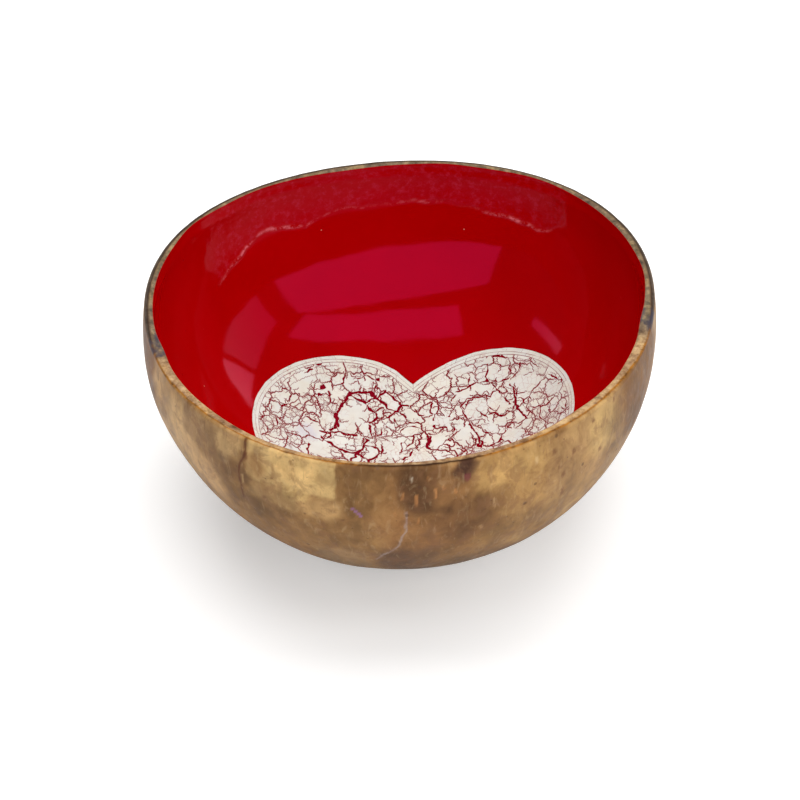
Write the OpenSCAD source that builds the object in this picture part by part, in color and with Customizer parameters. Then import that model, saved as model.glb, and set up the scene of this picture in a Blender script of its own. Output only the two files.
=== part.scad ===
// Half a coconut shell made into a bowl. The outside is the polished shell, the inside is red lacquer,
// and a white heart of crackled eggshell is laid into the lacquer on the bottom.
// Millimetres, +Z up. The sanded foot is centred on the origin, and the front of the bowl is towards -Y.

/* [Shell] */
// Mean width at the widest level
bowl_d = 140; // [125:1:160]
// Mean height of the rim above the foot
bowl_h = 63.3; // [56:0.1:72]
// Half height of the whole nut, from its widest level to its natural bottom
nut_half_h = 54.4; // [50:0.1:62]
// Width of the flat sanded on the bottom
foot_d = 36; // [26:1:40]
// Wall of the shell at the bottom, before the foot is sanded
base_wall = 4; // [3.6:0.1:5]
// Mean wall of the shell at the lip
lip_wall = 2.4; // [1.8:0.1:3.4]
// How far the wall at the lip is over its mean on its thick side
lip_wall_swell = 0.45; // [0:0.05:0.6]
// Rounding of the outer edge of the lip
lip_round = 0.9; // [0.4:0.1:1]
// Bevel of the inner edge of the lip
lip_bevel = 0.3; // [0.1:0.05:0.4]

/* [Natural unevenness] */
// How far the outline is out of round as an oval
oval = 2.1; // [0:0.1:3]
// Height of the three ridges that a coconut has
ridge = 1.85; // [0:0.05:3]
// Height of the four faint corners of the outline
corner = 0.6; // [0:0.1:1]
// Height of the long wave of the rim, two crests round
rim_wave = 1.2; // [0:0.1:2]
// Height of the short wave of the rim, three crests round
rim_ripple = 0.45; // [0:0.05:1]
// Depth of the low spot sanded into the rim at the back left
rim_dip = 0.5; // [0:0.1:1.5]

/* [Lacquer] */
// Thickness of the ground coat on the raw shell
ground_t = 0.3; // [0.2:0.05:0.5]
// Thickness of the lacquer under the eggshell, which the red coat has beside it too
egg_bed = 0.15; // [0.15:0.05:0.4]
// How far the coats end below the lip
coat_drop = 0.4; // [0.35:0.05:1]
// Space left between one coat and the next
coat_gap = 0.03; // [0.02:0.01:0.06]

/* [Heart] */
// Width of the heart, measured along the curved bottom
heart_w = 101; // [85:1:104]
// From the middle of the heart to the top of its lobes
heart_rise = 39.5; // [34:0.5:44]
// From the middle of the heart to its point
heart_drop = 50; // [44:0.5:56]
// Radius of the two lobes
lobe_r = 30; // [27:0.5:33]
// Radius of the swelling sides
side_r = 112; // [90:1:160]
// Radius at the point of the heart
point_r = 5; // [4:0.5:8]
// How far the heart lies to the right of the bowl's middle
heart_right_by = 3.8; // [-5:0.1:5]
// How far the heart lies behind the bowl's middle
heart_back_by = 4.7; // [-2:0.1:6]
// Turn of the heart, in degrees
heart_turn = -2; // [-10:1:10]

/* [Eggshell] */
// Width of the plain strip round the heart
border_w = 2.2; // [1.5:0.1:3]
// Mean length of the pieces of the strip
border_piece = 11; // [8:0.5:20]
// Mean size of an eggshell chip
chip = 6.6; // [6:0.1:10]
// Thickness of the eggshell
egg_t = 0.3; // [0.2:0.05:0.5]
// Width of the cracks
crack = 0.35; // [0.2:0.05:0.6]
// Which of the many ways the eggshell cracks
crack_pattern = 5; // [1:1:40]

/* [Hidden] */

bowl_r = bowl_d / 2;
foot_r = foot_d / 2;
// Height of the widest level above the foot
belly_h = nut_half_h * sqrt(1 - pow(foot_r / bowl_r, 2));

// Directions of the natural unevenness, in degrees from +X
oval_dir = 66;
ridge_dir = 42.5;
corner_dir = -31.5;
rim_wave_dir = -54.8;
rim_ripple_dir = 14.6;
rim_dip_dir = 133;
rim_dip_spread = 22;
lip_swell_dir = -61;

// Rows of the grid: on the outside, in the heart, from the heart to the rim, and in the lip's outer edge
rows_outside = 16;
rows_heart = 8;
rows_above = 9;
rows_lip = 3;
// Columns of the grid: even steps round the heart, each cut into finer ones beside the point of the heart
even_steps = 72;
point_steps = 3;
point_dir = 270;
notch_dir = 90;
dirs = [
    for (k = [0:even_steps - 1])
        let (
            step = 360 / even_steps,
            by_point = abs(step * (k + 0.5) - point_dir) < step,
            parts = by_point ? point_steps : 1
        )
        for (j = [0:parts - 1]) step * (k + j / parts)
];
around = len(dirs);

// Lift of the layers' faces above the inner face of the shell. The red coat is flush with the eggshell.
ground_low = coat_gap;
ground_top = ground_low + ground_t;
red_low = ground_top + coat_gap;
egg_low = red_low + egg_bed;
egg_top = egg_low + egg_t;
red_top = egg_top;

// Edges of an eggshell chip shorter than this are left out
least_edge = crack / 2;
// Neighbours further off than this don't shape a chip
reach = 2.6 * chip;
// Share of a chip by which its middle may be off the even pattern
chip_scatter_share = 0.42;
// Share of a chip that lies at least between its middle and the border
edge_room_share = 0.25;
// Share of its own length by which a border piece may be longer or shorter
border_scatter_share = 0.3;
// Share of the lobes' height at which the point of the heart begins, below the middle
point_share = 0.25;

// Radius that turns angles on the inside into lengths along it, near the bottom
inner_r = bowl_r - base_wall;
// Middle of the heart on the flattened inside
heart_middle = [heart_right_by, heart_back_by];
lobe_at = [heart_w / 2 - lobe_r, heart_rise - lobe_r];
point_at = [0, point_r - heart_drop];
// Centre of the right side's arc, which runs on smoothly from the lobe and into the point
side_at = arc_centre(lobe_at, side_r - lobe_r, point_at, side_r - point_r);

// Third corner of a triangle on the left of the line from p to q, at distance a from p and b from q
function arc_centre(p, a, q, b) =
    let (
        line = q - p,
        long = norm(line),
        along = (a * a - b * b + long * long) / (2 * long),
        off = sqrt(a * a - along * along),
        dir = line / long
    )
    p + along * dir + off * [dir[1], -dir[0]];

// Angle brought between -180 and 180
function wrapped(a) = a - 360 * floor((a + 180) / 360);

// Outer radius at the widest level, in direction a
function belly_r(a) =
    bowl_r + oval * cos(2 * (a - oval_dir)) + ridge * cos(3 * (a - ridge_dir))
    + corner * cos(4 * (a - corner_dir));

// Height of the lip in direction a
function rim_level(a) =
    bowl_h + rim_wave * cos(2 * (a - rim_wave_dir)) + rim_ripple * cos(3 * (a - rim_ripple_dir))
    - rim_dip * exp(-pow(wrapped(a - rim_dip_dir) / rim_dip_spread, 2));

// Wall at the lip in direction a
function lip_wall_at(a) = lip_wall + lip_wall_swell * cos(a - lip_swell_dir);

// Angle t of a point on the nut's profile runs from 0 at the bottom past 90 at the widest level.
// This is the angle at which the face that lies depth inside the outer face reaches the height z.
function angle_at(depth, z) = acos((belly_h - z) / (nut_half_h - depth));

// Wall of the shell at angle t in direction a
function wall_at(t, a) = base_wall + (lip_wall_at(a) - base_wall) * pow(t / angle_at(0, rim_level(a)), 2);

// Point that lies depth inside the outer face, at angle t in direction a
function inside(depth, t, a) =
    let (r = (bowl_r - depth) * sin(t) * belly_r(a) / bowl_r)
    [r * cos(a), r * sin(a), belly_h - (nut_half_h - depth) * cos(t)];

// Radius of the outer face at height z in direction a
function outer_r(z, a) = belly_r(a) * sin(angle_at(0, z));

// A point of the flattened inside, laid on the face that lies lift above the inner face of the shell
function laid(lift, p) =
    let (
        t = norm(p) / inner_r * 180 / PI,
        a = atan2(p[1], p[0])
    )
    inside(wall_at(t, a) + lift, t, a);

// Distance from the heart's middle to its edge in direction a, for a heart made smaller all round by inset
function heart_reach(a, inset) =
    let (
        ray = [abs(cos(a)), sin(a)],
        side_run = side_r - inset,
        lobe_meets = side_at + side_run * (lobe_at - side_at) / norm(lobe_at - side_at),
        point_meets = side_at + side_run * (point_at - side_at) / norm(point_at - side_at),
        up = atan2(ray[1], ray[0])
    )
    up > atan2(lobe_meets[1], lobe_meets[0]) ? ray_to_arc(ray, lobe_at, lobe_r - inset)
    : up > atan2(point_meets[1], point_meets[0]) ? ray_to_arc(ray, side_at, side_run)
    : ray_to_arc(ray, point_at, point_r - inset);

// How far a ray from the middle runs to the far side of a circle
function ray_to_arc(ray, centre, r) =
    let (near = ray * centre)
    near + sqrt(near * near - centre * centre + r * r);

// Point of the heart's edge in direction a, in the heart's own frame
function heart_edge(a, inset) = heart_reach(a, inset) * [cos(a), sin(a)];

// A point of the heart's own frame, on the flattened inside
function placed(p) =
    heart_middle + [
        p[0] * cos(heart_turn) - p[1] * sin(heart_turn),
        p[0] * sin(heart_turn) + p[1] * cos(heart_turn)
    ];

// Direction of column k of the grid, in degrees from +X
function direction(k) = dirs[k] + heart_turn;

// One column of the grid on the flattened inside, from the heart's middle to its edge, and on to the rim.
// lift is how far the face lies above the inner face of the shell, and drop is how far it ends below the lip.
function column(k, lift, drop) =
    let (
        a = direction(k),
        rim_run = inner_r * PI / 180 * angle_at(lip_wall_at(a) + lift, rim_level(a) - drop),
        rim = rim_run * [cos(a), sin(a)],
        edge = placed(heart_edge(dirs[k], 0))
    )
    concat(
        [for (i = [1:rows_heart]) heart_middle + (edge - heart_middle) * i / rows_heart],
        [for (i = [1:rows_above]) edge + (rim - edge) * i / rows_above]
    );

// All rings of one face of a layer, from the heart's middle outwards
function rings(lift, drop) =
    let (columns = [for (k = [0:around - 1]) column(k, lift, drop)])
    [for (i = [0:rows_heart + rows_above - 1]) [for (k = [0:around - 1]) laid(lift, columns[k][i])]];

function flat_list(lists) = [for (list = lists) each list];
function backwards(list) = [for (i = [len(list) - 1:-1:0]) list[i]];

// Two triangles between steps k and k + 1 of the rings that start at points low and high.
// The triangles of two layers match because the diagonal always leans the same way from the middle outwards.
function band(low, high, k, outwards) =
    let (
        a = low + k,
        b = low + (k + 1) % around,
        c = high + (k + 1) % around,
        d = high + k
    )
    outwards ? [[a, b, c], [a, c, d]] : [[a, b, d], [b, c, d]];

// Closed solid of rings that start and end in a point. They run outwards up to ring turn, and then back.
module bowl_of_rings(first, list, last, turn) {
    count = len(list);
    points = concat([first], flat_list(list), [last]);
    end = len(points) - 1;
    caps = [
        for (k = [0:around - 1])
            each [
                [0, 1 + (k + 1) % around, 1 + k],
                [end, 1 + (count - 1) * around + k, 1 + (count - 1) * around + (k + 1) % around]
            ]
    ];
    bands = [
        for (i = [0:count - 2], k = [0:around - 1])
            each band(1 + i * around, 1 + (i + 1) * around, k, i < turn)
    ];
    polyhedron(points, concat(caps, bands));
}

// Closed solid of rings that come back to the first one
module collar_of_rings(list, turn) {
    count = len(list);
    polyhedron(flat_list(list), [
        for (i = [0:count - 1], k = [0:around - 1])
            each band(i * around, (i + 1) % count * around, k, i < turn)
    ]);
}

// The part of a polygon behind the line through p, square to the unit direction away
function cut(polygon, p, away) =
    [
        for (i = [0:len(polygon) - 1])
            let (
                a = polygon[i],
                b = polygon[(i + 1) % len(polygon)],
                da = (a - p) * away,
                db = (b - p) * away
            )
            each concat(da <= 0 ? [a] : [], da * db < 0 ? [a + (b - a) * da / (da - db)] : [])
    ];

// The polygon cut by the middle line to each of the neighbours, less half a crack
function cell(polygon, seed, others, i = 0) =
    i == len(others) || len(polygon) < 3 ? polygon
    : let (
        line = others[i] - seed,
        away = line / norm(line)
    )
    cell(cut(polygon, seed + line / 2 - away * crack / 2, away), seed, others, i + 1);

function without_short_edges(polygon) =
    [
        for (i = [0:len(polygon) - 1])
            if (norm(polygon[i] - polygon[(i + 1) % len(polygon)]) > least_edge) polygon[i]
    ];

function sum(list, i = 0) = i == len(list) - 1 ? list[i] : list[i] + sum(list, i + 1);
function middle_of(outline) = sum(outline) / len(outline);

// Middles of the chips: an even pattern of staggered rows, each point thrown off its place, inside the border
field_inset = border_w + crack;
row_step = chip * sqrt(3) / 2;
field_cols = 2 * ceil(heart_w / chip / 2) + 3;
field_rows = 2 * ceil(max(heart_rise, heart_drop) / row_step) + 3;
throws = rands(-1, 1, 2 * field_cols * field_rows, crack_pattern);
seeds = [
    for (j = [0:field_rows - 1], i = [0:field_cols - 1])
        let (
            n = 2 * (j * field_cols + i),
            even = [(i - (field_cols - 1) / 2 + (j % 2) / 2) * chip, (j - (field_rows - 1) / 2) * row_step],
            p = even + [throws[n], throws[n + 1]] * chip * chip_scatter_share
        )
        if (norm(p) < heart_reach(atan2(p[1], p[0]), field_inset) - chip * edge_room_share) p
];
field = [for (a = dirs) heart_edge(a, field_inset)];
chips = [
    for (s = seeds)
        without_short_edges(cell(field, s, [for (o = seeds) if (o != s && norm(o - s) < reach) o]))
];

// Where the border strip is broken across: steps round the heart at even lengths, each thrown a little
border_run = sum([for (k = [1:around]) norm(heart_edge(dirs[k % around], 0) - heart_edge(dirs[k - 1], 0))]);
border_count = round(border_run / border_piece);
border_throws = rands(-border_scatter_share, border_scatter_share, border_count, crack_pattern);
breaks = [
    for (i = [0:border_count - 1])
        notch_dir + 360 / border_count * (i + (i == 0 ? 0 : border_throws[i]))
];

// One eggshell chip, of the outline given in the heart's own frame
module eggshell(outline) {
    n = len(outline);
    all_points = concat([middle_of(outline)], outline);
    points = concat(
        [for (p = all_points) laid(egg_top, placed(p))],
        [for (p = all_points) laid(egg_low, placed(p))]
    );
    polyhedron(points, [
        for (i = [0:n - 1])
            let (
                a = 1 + i,
                b = 1 + (i + 1) % n,
                c = n + 1
            )
            each [[0, b, a], [c, c + a, c + b], [a, b, c + b], [a, c + b, c + a]]
    ]);
}

// One piece of the border strip, between two directions from the heart's middle
module border_strip(from, to) {
    half_crack = crack / 2 / heart_reach((from + to) / 2, 0) * 180 / PI;
    start = from + half_crack;
    stop = to - half_crack;
    all_dirs = concat(dirs, [for (d = dirs) d + 360]);
    between = [for (a = all_dirs) if (a > start + half_crack && a < stop - half_crack) a];
    turn = concat(start, between, stop);
    steps = len(turn) - 1;
    points = [
        for (a = turn)
            each [
                laid(egg_low, placed(heart_edge(a, crack / 2))),
                laid(egg_top, placed(heart_edge(a, crack / 2))),
                laid(egg_top, placed(heart_edge(a, border_w))),
                laid(egg_low, placed(heart_edge(a, border_w)))
            ]
    ];
    sides = [
        for (i = [0:steps - 1], j = [0:3])
            let (
                a = 4 * i + j,
                b = 4 * i + (j + 1) % 4
            )
            each [[a, b, b + 4], [a, b + 4, a + 4]]
    ];
    end = 4 * steps;
    ends = [[0, 3, 2], [0, 2, 1], [end, end + 1, end + 2], [end, end + 2, end + 3]];
    polyhedron(points, concat(ends, sides));
}

// The half nut with its lip, and its bottom sanded flat
module shell() {
    lip_inner = [
        for (k = [0:around - 1])
            let (
                a = direction(k),
                z = rim_level(a),
                depth = lip_wall_at(a),
                edge = inside(depth, angle_at(depth, z - lip_bevel), a)
            )
            [edge[0] + lip_bevel * cos(a), edge[1] + lip_bevel * sin(a), z]
    ];
    lip_outer = [
        for (i = [rows_lip:-1:0])
            [
                for (k = [0:around - 1])
                    let (
                        a = direction(k),
                        z = rim_level(a) - lip_round,
                        turn = 90 * i / rows_lip,
                        r = outer_r(z, a) - lip_round + lip_round * cos(turn)
                    )
                    [r * cos(a), r * sin(a), z + lip_round * sin(turn)]
            ]
    ];
    outside = [
        for (i = [1:rows_outside])
            [
                for (k = [0:around - 1])
                    let (
                        a = direction(k),
                        top = angle_at(0, rim_level(a) - lip_round),
                        foot_edge = angle_at(0, 0)
                    )
                    inside(0, top + (foot_edge - top) * i / rows_outside, a)
            ]
    ];
    color([0.62, 0.46, 0.28])
        difference() {
            bowl_of_rings(
                laid(0, heart_middle),
                concat(rings(0, lip_bevel), [lip_inner], lip_outer, outside),
                inside(0, 0, 0),
                rows_heart + rows_above
            );
            translate([-bowl_r, -bowl_r, -bowl_h])
                cube([bowl_d, bowl_d, bowl_h]);
        }
}

// The first coat, over the whole inside
module ground_coat() {
    color([0.30, 0.05, 0.05])
        bowl_of_rings(
            laid(ground_top, heart_middle),
            concat(rings(ground_top, coat_drop), backwards(rings(ground_low, coat_drop))),
            laid(ground_low, heart_middle),
            rows_heart + rows_above
        );
}

// The red coat, open over the heart
module red_lacquer() {
    function above_heart(list) = [for (i = [rows_heart - 1:len(list) - 1]) list[i]];
    color([0.62, 0.02, 0.03])
        collar_of_rings(
            concat(above_heart(rings(red_top, coat_drop)), backwards(above_heart(rings(red_low, coat_drop)))),
            rows_above
        );
}

// The plain strip round the heart, broken across
module heart_border() {
    color([0.93, 0.91, 0.86])
        for (i = [0:border_count - 1])
            border_strip(breaks[i], i == border_count - 1 ? breaks[0] + 360 : breaks[i + 1]);
}

// Which part of the heart a chip belongs to
function in_point(outline) = middle_of(outline)[1] < -heart_rise * point_share;
function in_left(outline) = middle_of(outline)[0] < 0;

module heart_left() {
    color([0.95, 0.93, 0.89])
        for (c = chips)
            if (!in_point(c) && in_left(c)) eggshell(c);
}

module heart_right() {
    color([0.94, 0.92, 0.88])
        for (c = chips)
            if (!in_point(c) && !in_left(c)) eggshell(c);
}

module heart_point() {
    color([0.92, 0.90, 0.86])
        for (c = chips)
            if (in_point(c)) eggshell(c);
}

shell();
ground_coat();
red_lacquer();
heart_border();
heart_left();
heart_right();
heart_point();
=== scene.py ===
"""Coconut shell bowl: the polished half nut, its red lacquered inside and a white heart of crackled eggshell.

Lengths are millimetres and directions are degrees from +X, until a mesh is made in metres. A layer's lift
is its height above the inner face of the shell. The heart is drawn on the flattened inside, where a distance
from the middle is the length along the curved bottom.
"""
from itertools import product

import bpy
import numpy as np
from mathutils import Matrix


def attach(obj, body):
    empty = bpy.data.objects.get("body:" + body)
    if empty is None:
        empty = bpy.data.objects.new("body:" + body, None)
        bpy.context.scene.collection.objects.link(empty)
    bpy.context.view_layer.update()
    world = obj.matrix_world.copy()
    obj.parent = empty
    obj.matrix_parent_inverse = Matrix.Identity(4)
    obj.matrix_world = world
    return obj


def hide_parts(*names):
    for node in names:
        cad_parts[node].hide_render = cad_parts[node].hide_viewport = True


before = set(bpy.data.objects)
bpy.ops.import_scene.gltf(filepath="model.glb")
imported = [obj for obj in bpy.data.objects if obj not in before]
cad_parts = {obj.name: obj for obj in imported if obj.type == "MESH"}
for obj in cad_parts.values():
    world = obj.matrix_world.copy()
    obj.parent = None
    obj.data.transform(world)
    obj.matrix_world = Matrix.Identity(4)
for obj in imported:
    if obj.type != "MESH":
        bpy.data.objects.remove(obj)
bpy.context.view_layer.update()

MM = 0.001

# Shell
BOWL_R = 70.0
BOWL_H = 63.3
NUT_HALF_H = 54.4
FOOT_R = 18.0
BASE_WALL = 4.0
LIP_WALL = 2.4
LIP_WALL_SWELL = 0.45
LIP_ROUND = 0.9
LIP_BEVEL = 0.3
BELLY_H = NUT_HALF_H * np.sqrt(1 - (FOOT_R / BOWL_R) ** 2)
INNER_R = BOWL_R - BASE_WALL

# Natural unevenness: heights, and the directions of their crests
OVAL, OVAL_DIR = 2.1, 66
RIDGE, RIDGE_DIR = 1.85, 42.5
CORNER, CORNER_DIR = 0.6, -31.5
RIM_WAVE, RIM_WAVE_DIR = 1.2, -54.8
RIM_RIPPLE, RIM_RIPPLE_DIR = 0.45, 14.6
RIM_DIP, RIM_DIP_DIR, RIM_DIP_SPREAD = 0.5, 133, 22
LIP_SWELL_DIR = -61
# Where the sawn lip is thicker or thinner: direction, change, reach round
LIP_WANDER = ((352, 0.6, 6), (12, -0.45, 7), (35, 0.15, 8), (58, -0.8, 9), (80, -0.6, 6), (104, 0.6, 9),
              (128, -0.5, 10), (149, -0.8, 7), (198, 0.55, 5), (225, 0.2, 8), (262, -0.6, 24), (311, 0.35, 6),
              (328, -0.2, 6))

# Layers on the inside: lifts of their faces
GROUND_LOW, GROUND_TOP = 0.03, 0.33
RED_LOW, RED_TOP = 0.36, 0.81
RED_BED = 0.73
CHIP_LOW, CHIP_EDGE, CHIP_TOP = 0.60, 0.79, 0.82
COAT_DROP = 0.4

# Heart
HEART_W = 101.0
HEART_RISE = 39.5
HEART_DROP = 50.0
LOBE_R = 30.0
SIDE_R = 112.0
POINT_R = 5.0
HEART_MIDDLE = np.array([3.8, 4.7])
HEART_TURN = -2.0
LOBE_AT = np.array([HEART_W / 2 - LOBE_R, HEART_RISE - LOBE_R])
POINT_AT = np.array([0.0, POINT_R - HEART_DROP])
NOTCH_DIR = 90.0
NOTCH_LEAN, NOTCH_AT, LEAN_REACH = (-2.0, -0.7), (0, 31), (11, 9)
POINT_SHARE = 0.25

# Camera, fitted to the bowl's outline
CAMERA_FAR = 700.0
CAMERA_UP = 37.643
CAMERA_LENS = 116.449
CAMERA_AIM = (-1.026, 0.0, 29.919)


def length(v):
    return np.linalg.norm(v, axis=-1)


def unit(v):
    """Vectors brought to length one."""
    return v / np.linalg.norm(v, axis=-1, keepdims=True)


def heading(a):
    """Flat vectors of length one in directions a."""
    return np.stack([np.cos(np.radians(a)), np.sin(np.radians(a))], -1)


def bearing(p):
    """Directions of points from the middle, seen from above."""
    return np.degrees(np.arctan2(p[..., 1], p[..., 0]))


def round_axis(r, a, z):
    """Points at distance r from the bowl's axis, in direction a, at height z."""
    return np.stack([r * np.cos(np.radians(a)), r * np.sin(np.radians(a)), z], -1)


def pick(condition, p, q):
    """Vectors of p where the condition holds, and of q elsewhere."""
    return np.where(condition[..., None], p, q)


def beside(points, p, q):
    """The share of the way from p to q at which a point is nearest, that place, and how far off it is."""
    along = q - p
    t = np.clip(((points - p) @ along) / (along @ along), 0, 1)
    foot = p + t[..., None] * along
    return t, foot, length(points - foot)


def arc_centre(p, a, q, b):
    """Third corner of a triangle on the left of the line from p to q, at distance a from p and b from q."""
    line = q - p
    long = length(line)
    along = (a * a - b * b + long * long) / (2 * long)
    off = np.sqrt(a * a - along * along)
    return p + along * line / long + off * np.array([line[1], -line[0]]) / long


SIDE_AT = arc_centre(LOBE_AT, SIDE_R - LOBE_R, POINT_AT, SIDE_R - POINT_R)


def wave(count, a, crest):
    """A cosine with count crests round the bowl, one of them in the given direction."""
    return np.cos(np.radians(count * (a - crest)))


def smooth_step(value, low, high):
    """0 below low, 1 above high, and three t squared less two t cubed between them."""
    t = np.clip((value - low) / (high - low), 0, 1)
    return t * t * (3 - 2 * t)


def turned(a):
    """Angle brought between -180 and 180."""
    return (a + 180) % 360 - 180


def bumps(a, places):
    """Sum of soft bumps round the bowl, each given by its direction, height and reach: a bell curve."""
    return sum(height * np.exp(-(turned(a - middle) / reach) ** 2) for middle, height, reach in places)


def belly_r(a):
    """Outer radius at the widest level: a circle with an oval, three ridges and four faint corners added."""
    return (BOWL_R + OVAL * wave(2, a, OVAL_DIR) + RIDGE * wave(3, a, RIDGE_DIR)
            + CORNER * wave(4, a, CORNER_DIR))


def rim_level(a):
    """Height of the lip: two long waves, three short ones and one low spot."""
    dip = bumps(a, [(RIM_DIP_DIR, RIM_DIP, RIM_DIP_SPREAD)])
    return BOWL_H + RIM_WAVE * wave(2, a, RIM_WAVE_DIR) + RIM_RIPPLE * wave(3, a, RIM_RIPPLE_DIR) - dip


def even_lip_wall(a):
    """Wall at the lip before its uneven sawing: a mean and one long wave."""
    return LIP_WALL + LIP_WALL_SWELL * wave(1, a, LIP_SWELL_DIR)


def lip_wall(a):
    return even_lip_wall(a) + bumps(a, LIP_WANDER)


def angle_at(depth, z):
    """Angle from the nut's bottom at which the face that lies depth inside the outside reaches height z."""
    return np.degrees(np.arccos((BELLY_H - z) / (NUT_HALF_H - depth)))


def wall_at(t, a):
    """Wall of the shell: thick at the bottom, thinning with the square of the angle up to the lip. The lip's
    uneven thickness dies away below it, with the eighth power of the angle."""
    share = t / angle_at(0, rim_level(a))
    return BASE_WALL + (even_lip_wall(a) - BASE_WALL) * share ** 2 + bumps(a, LIP_WANDER) * share ** 8


def inside(depth, t, a):
    """Points depth inside the outer face, at angle t from the bottom in direction a: an uneven ellipsoid."""
    r = (BOWL_R - depth) * np.sin(np.radians(t)) * belly_r(a) / BOWL_R
    z = BELLY_H - (NUT_HALF_H - depth) * np.cos(np.radians(t))
    return round_axis(r, a, z)


def laid(lift, p):
    """Points of the flattened inside, laid on the face that has the given lift."""
    t = np.degrees(length(p) / INNER_R)
    a = bearing(p)
    return inside(wall_at(t, a) + lift, t, a)


def heart_reach(a, inset):
    """How far a ray from the heart's middle runs to its edge, when the edge is moved in by inset.

    Each half of the edge is a lobe's arc, a wide side arc and a small arc at the point, met in that order."""
    ray = heading(a)
    ray = np.stack([np.abs(ray[..., 0]), ray[..., 1]], -1)
    run = SIDE_R - inset
    lobe_meets = SIDE_AT + run * unit(LOBE_AT - SIDE_AT)
    point_meets = SIDE_AT + run * unit(POINT_AT - SIDE_AT)
    up = bearing(ray)
    on_lobe = up > bearing(lobe_meets)
    on_point = up <= bearing(point_meets)
    centre = pick(on_lobe, LOBE_AT, pick(on_point, POINT_AT, SIDE_AT))
    r = np.where(on_lobe, LOBE_R - inset, np.where(on_point, POINT_R - inset, run))
    near = (ray * centre).sum(-1)
    return near + np.sqrt(near ** 2 - (centre ** 2).sum(-1) + r ** 2)


def heart_edge(a, inset):
    """Points of the heart's edge in directions a, moved in by inset."""
    return heart_reach(a, inset)[..., None] * heading(a)


def placed(p):
    """Points of the heart's own frame, on the flattened inside. The hand that laid it let its notch lean."""
    lean = np.exp(-(((p - NOTCH_AT) / LEAN_REACH) ** 2).sum(-1))
    p = p + lean[..., None] * NOTCH_LEAN
    c, s = np.cos(np.radians(HEART_TURN)), np.sin(np.radians(HEART_TURN))
    return HEART_MIDDLE + np.stack([p[..., 0] * c - p[..., 1] * s, p[..., 0] * s + p[..., 1] * c], -1)


def scrambled(cell):
    """A number below 4096 for each cell of a grid. It has no order, but is the same each time."""
    key = 0
    for step, prime in zip(np.moveaxis(cell, -1, 0), (73856093, 19349663, 83492791)):
        key = key ^ step * prime
    return key & 4095


def noise(points, size, seed):
    """Smooth random heights from -1 to 1: random values at the corners of cubes of the given size, blended
    across each cube by three t squared less two t cubed."""
    values = np.random.default_rng(seed).uniform(-1, 1, 4096)
    q = np.asarray(points, float) / size
    cell = np.floor(q).astype(np.int64)
    part = q - cell
    part = part * part * (3 - 2 * part)
    total = np.zeros(q.shape[:-1])
    for corner in product((0, 1), repeat=q.shape[-1]):
        weight = np.prod(np.where(corner, part, 1 - part), axis=-1)
        total += values[scrambled(cell + corner)] * weight
    return total


def octaves(points, size, seed, count):
    """Noise of several sizes, each half as large and half as strong as the one before."""
    return sum(noise(points, size / 2 ** i, seed + i) / 2 ** i for i in range(count))


def throw(p, size, seed):
    """A flat step for each point, by smooth noise in both directions."""
    return np.stack([noise(p, size, seed), noise(p, size, seed + 1)], -1)


def warped(p, seed, sizes):
    """Points thrown off their places by smooth noise of some sizes, each given with its height."""
    return p + sum(height * throw(p, size, seed + 2 * n) for n, (size, height) in enumerate(sizes))


def in_scene(name, data):
    """A new object with the given data, in the scene."""
    made = bpy.data.objects.new(name, data)
    bpy.context.scene.collection.objects.link(made)
    return made


def new_piece(name, points, faces, smooth=True):
    """An object at the origin, of points in millimetres and lists of faces."""
    mesh = bpy.data.meshes.new(name)
    mesh.from_pydata(np.asarray(points) * MM, [], faces)
    mesh.update()
    mesh.validate()
    mesh.polygons.foreach_set("use_smooth", np.full(len(mesh.polygons), smooth))
    if smooth:
        mesh.set_sharp_from_angle(angle=np.radians(50))
    return in_scene(name, mesh)


def colour_points(piece, name, rgb):
    """A colour for each point of a piece, which its material reads by name."""
    layer = piece.data.attributes.new(name, "FLOAT_COLOR", "POINT")
    rgba = np.concatenate([rgb, np.ones((len(rgb), 1))], axis=1)
    layer.data.foreach_set("color", rgba.astype(np.float32).ravel())


def vector_points(piece, name, vectors):
    """A vector for each point of a piece, which its material reads by name."""
    layer = piece.data.attributes.new(name, "FLOAT_VECTOR", "POINT")
    layer.data.foreach_set("vector", np.asarray(vectors, np.float32).ravel())


def bowl_of_rings(rings, first, last):
    """Points and faces of a closed skin: rings one after another, with a single point at each end.

    The skin runs up the outside and down the inside, so that every face points out of the wall."""
    rings = np.asarray(rings)
    count, around = rings.shape[:2]
    points = np.concatenate([[first], rings.reshape(-1, 3), [last]])
    k = np.arange(around)
    after = (k + 1) % around
    low = 1 + np.arange(count - 1)[:, None] * around
    quads = np.stack([low + k, low + after, low + around + after, low + around + k], -1).reshape(-1, 4)
    end = len(points) - 1
    top = 1 + (count - 1) * around
    bottom_fan = np.stack([np.zeros_like(k), 1 + after, 1 + k], -1)
    top_fan = np.stack([top + k, top + after, np.full_like(k, end)], -1)
    return points, quads.tolist() + bottom_fan.tolist() + top_fan.tolist()


def shown_light(rgb):
    """Light values of colours given as they show on a screen, from 0 to 255."""
    c = np.asarray(rgb) / 255
    return np.where(c <= 0.04045, c / 12.92, ((c + 0.055) / 1.055) ** 2.4)


# Shell

SHELL_COLUMNS = 640
FRONT_COLUMNS, FRONT_FROM, FRONT_TO = 430, 200, 345
FOOT_SHARES = (0.2, 0.4, 0.6, 0.8, 0.93, 0.985)
OUTSIDE_ROWS = 112
LIP_ROWS = 9
LIP_TOP_ROWS = 9
INSIDE_ROWS = 10
# Stretch of the grain along the shell, from its bottom to its lip
GRAIN_STRETCH = 2.6
# Wear of the outside: size of each noise, and its depth
DENTS = ((17, 0.16), (6.5, 0.05), (2.6, 0.02))

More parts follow.
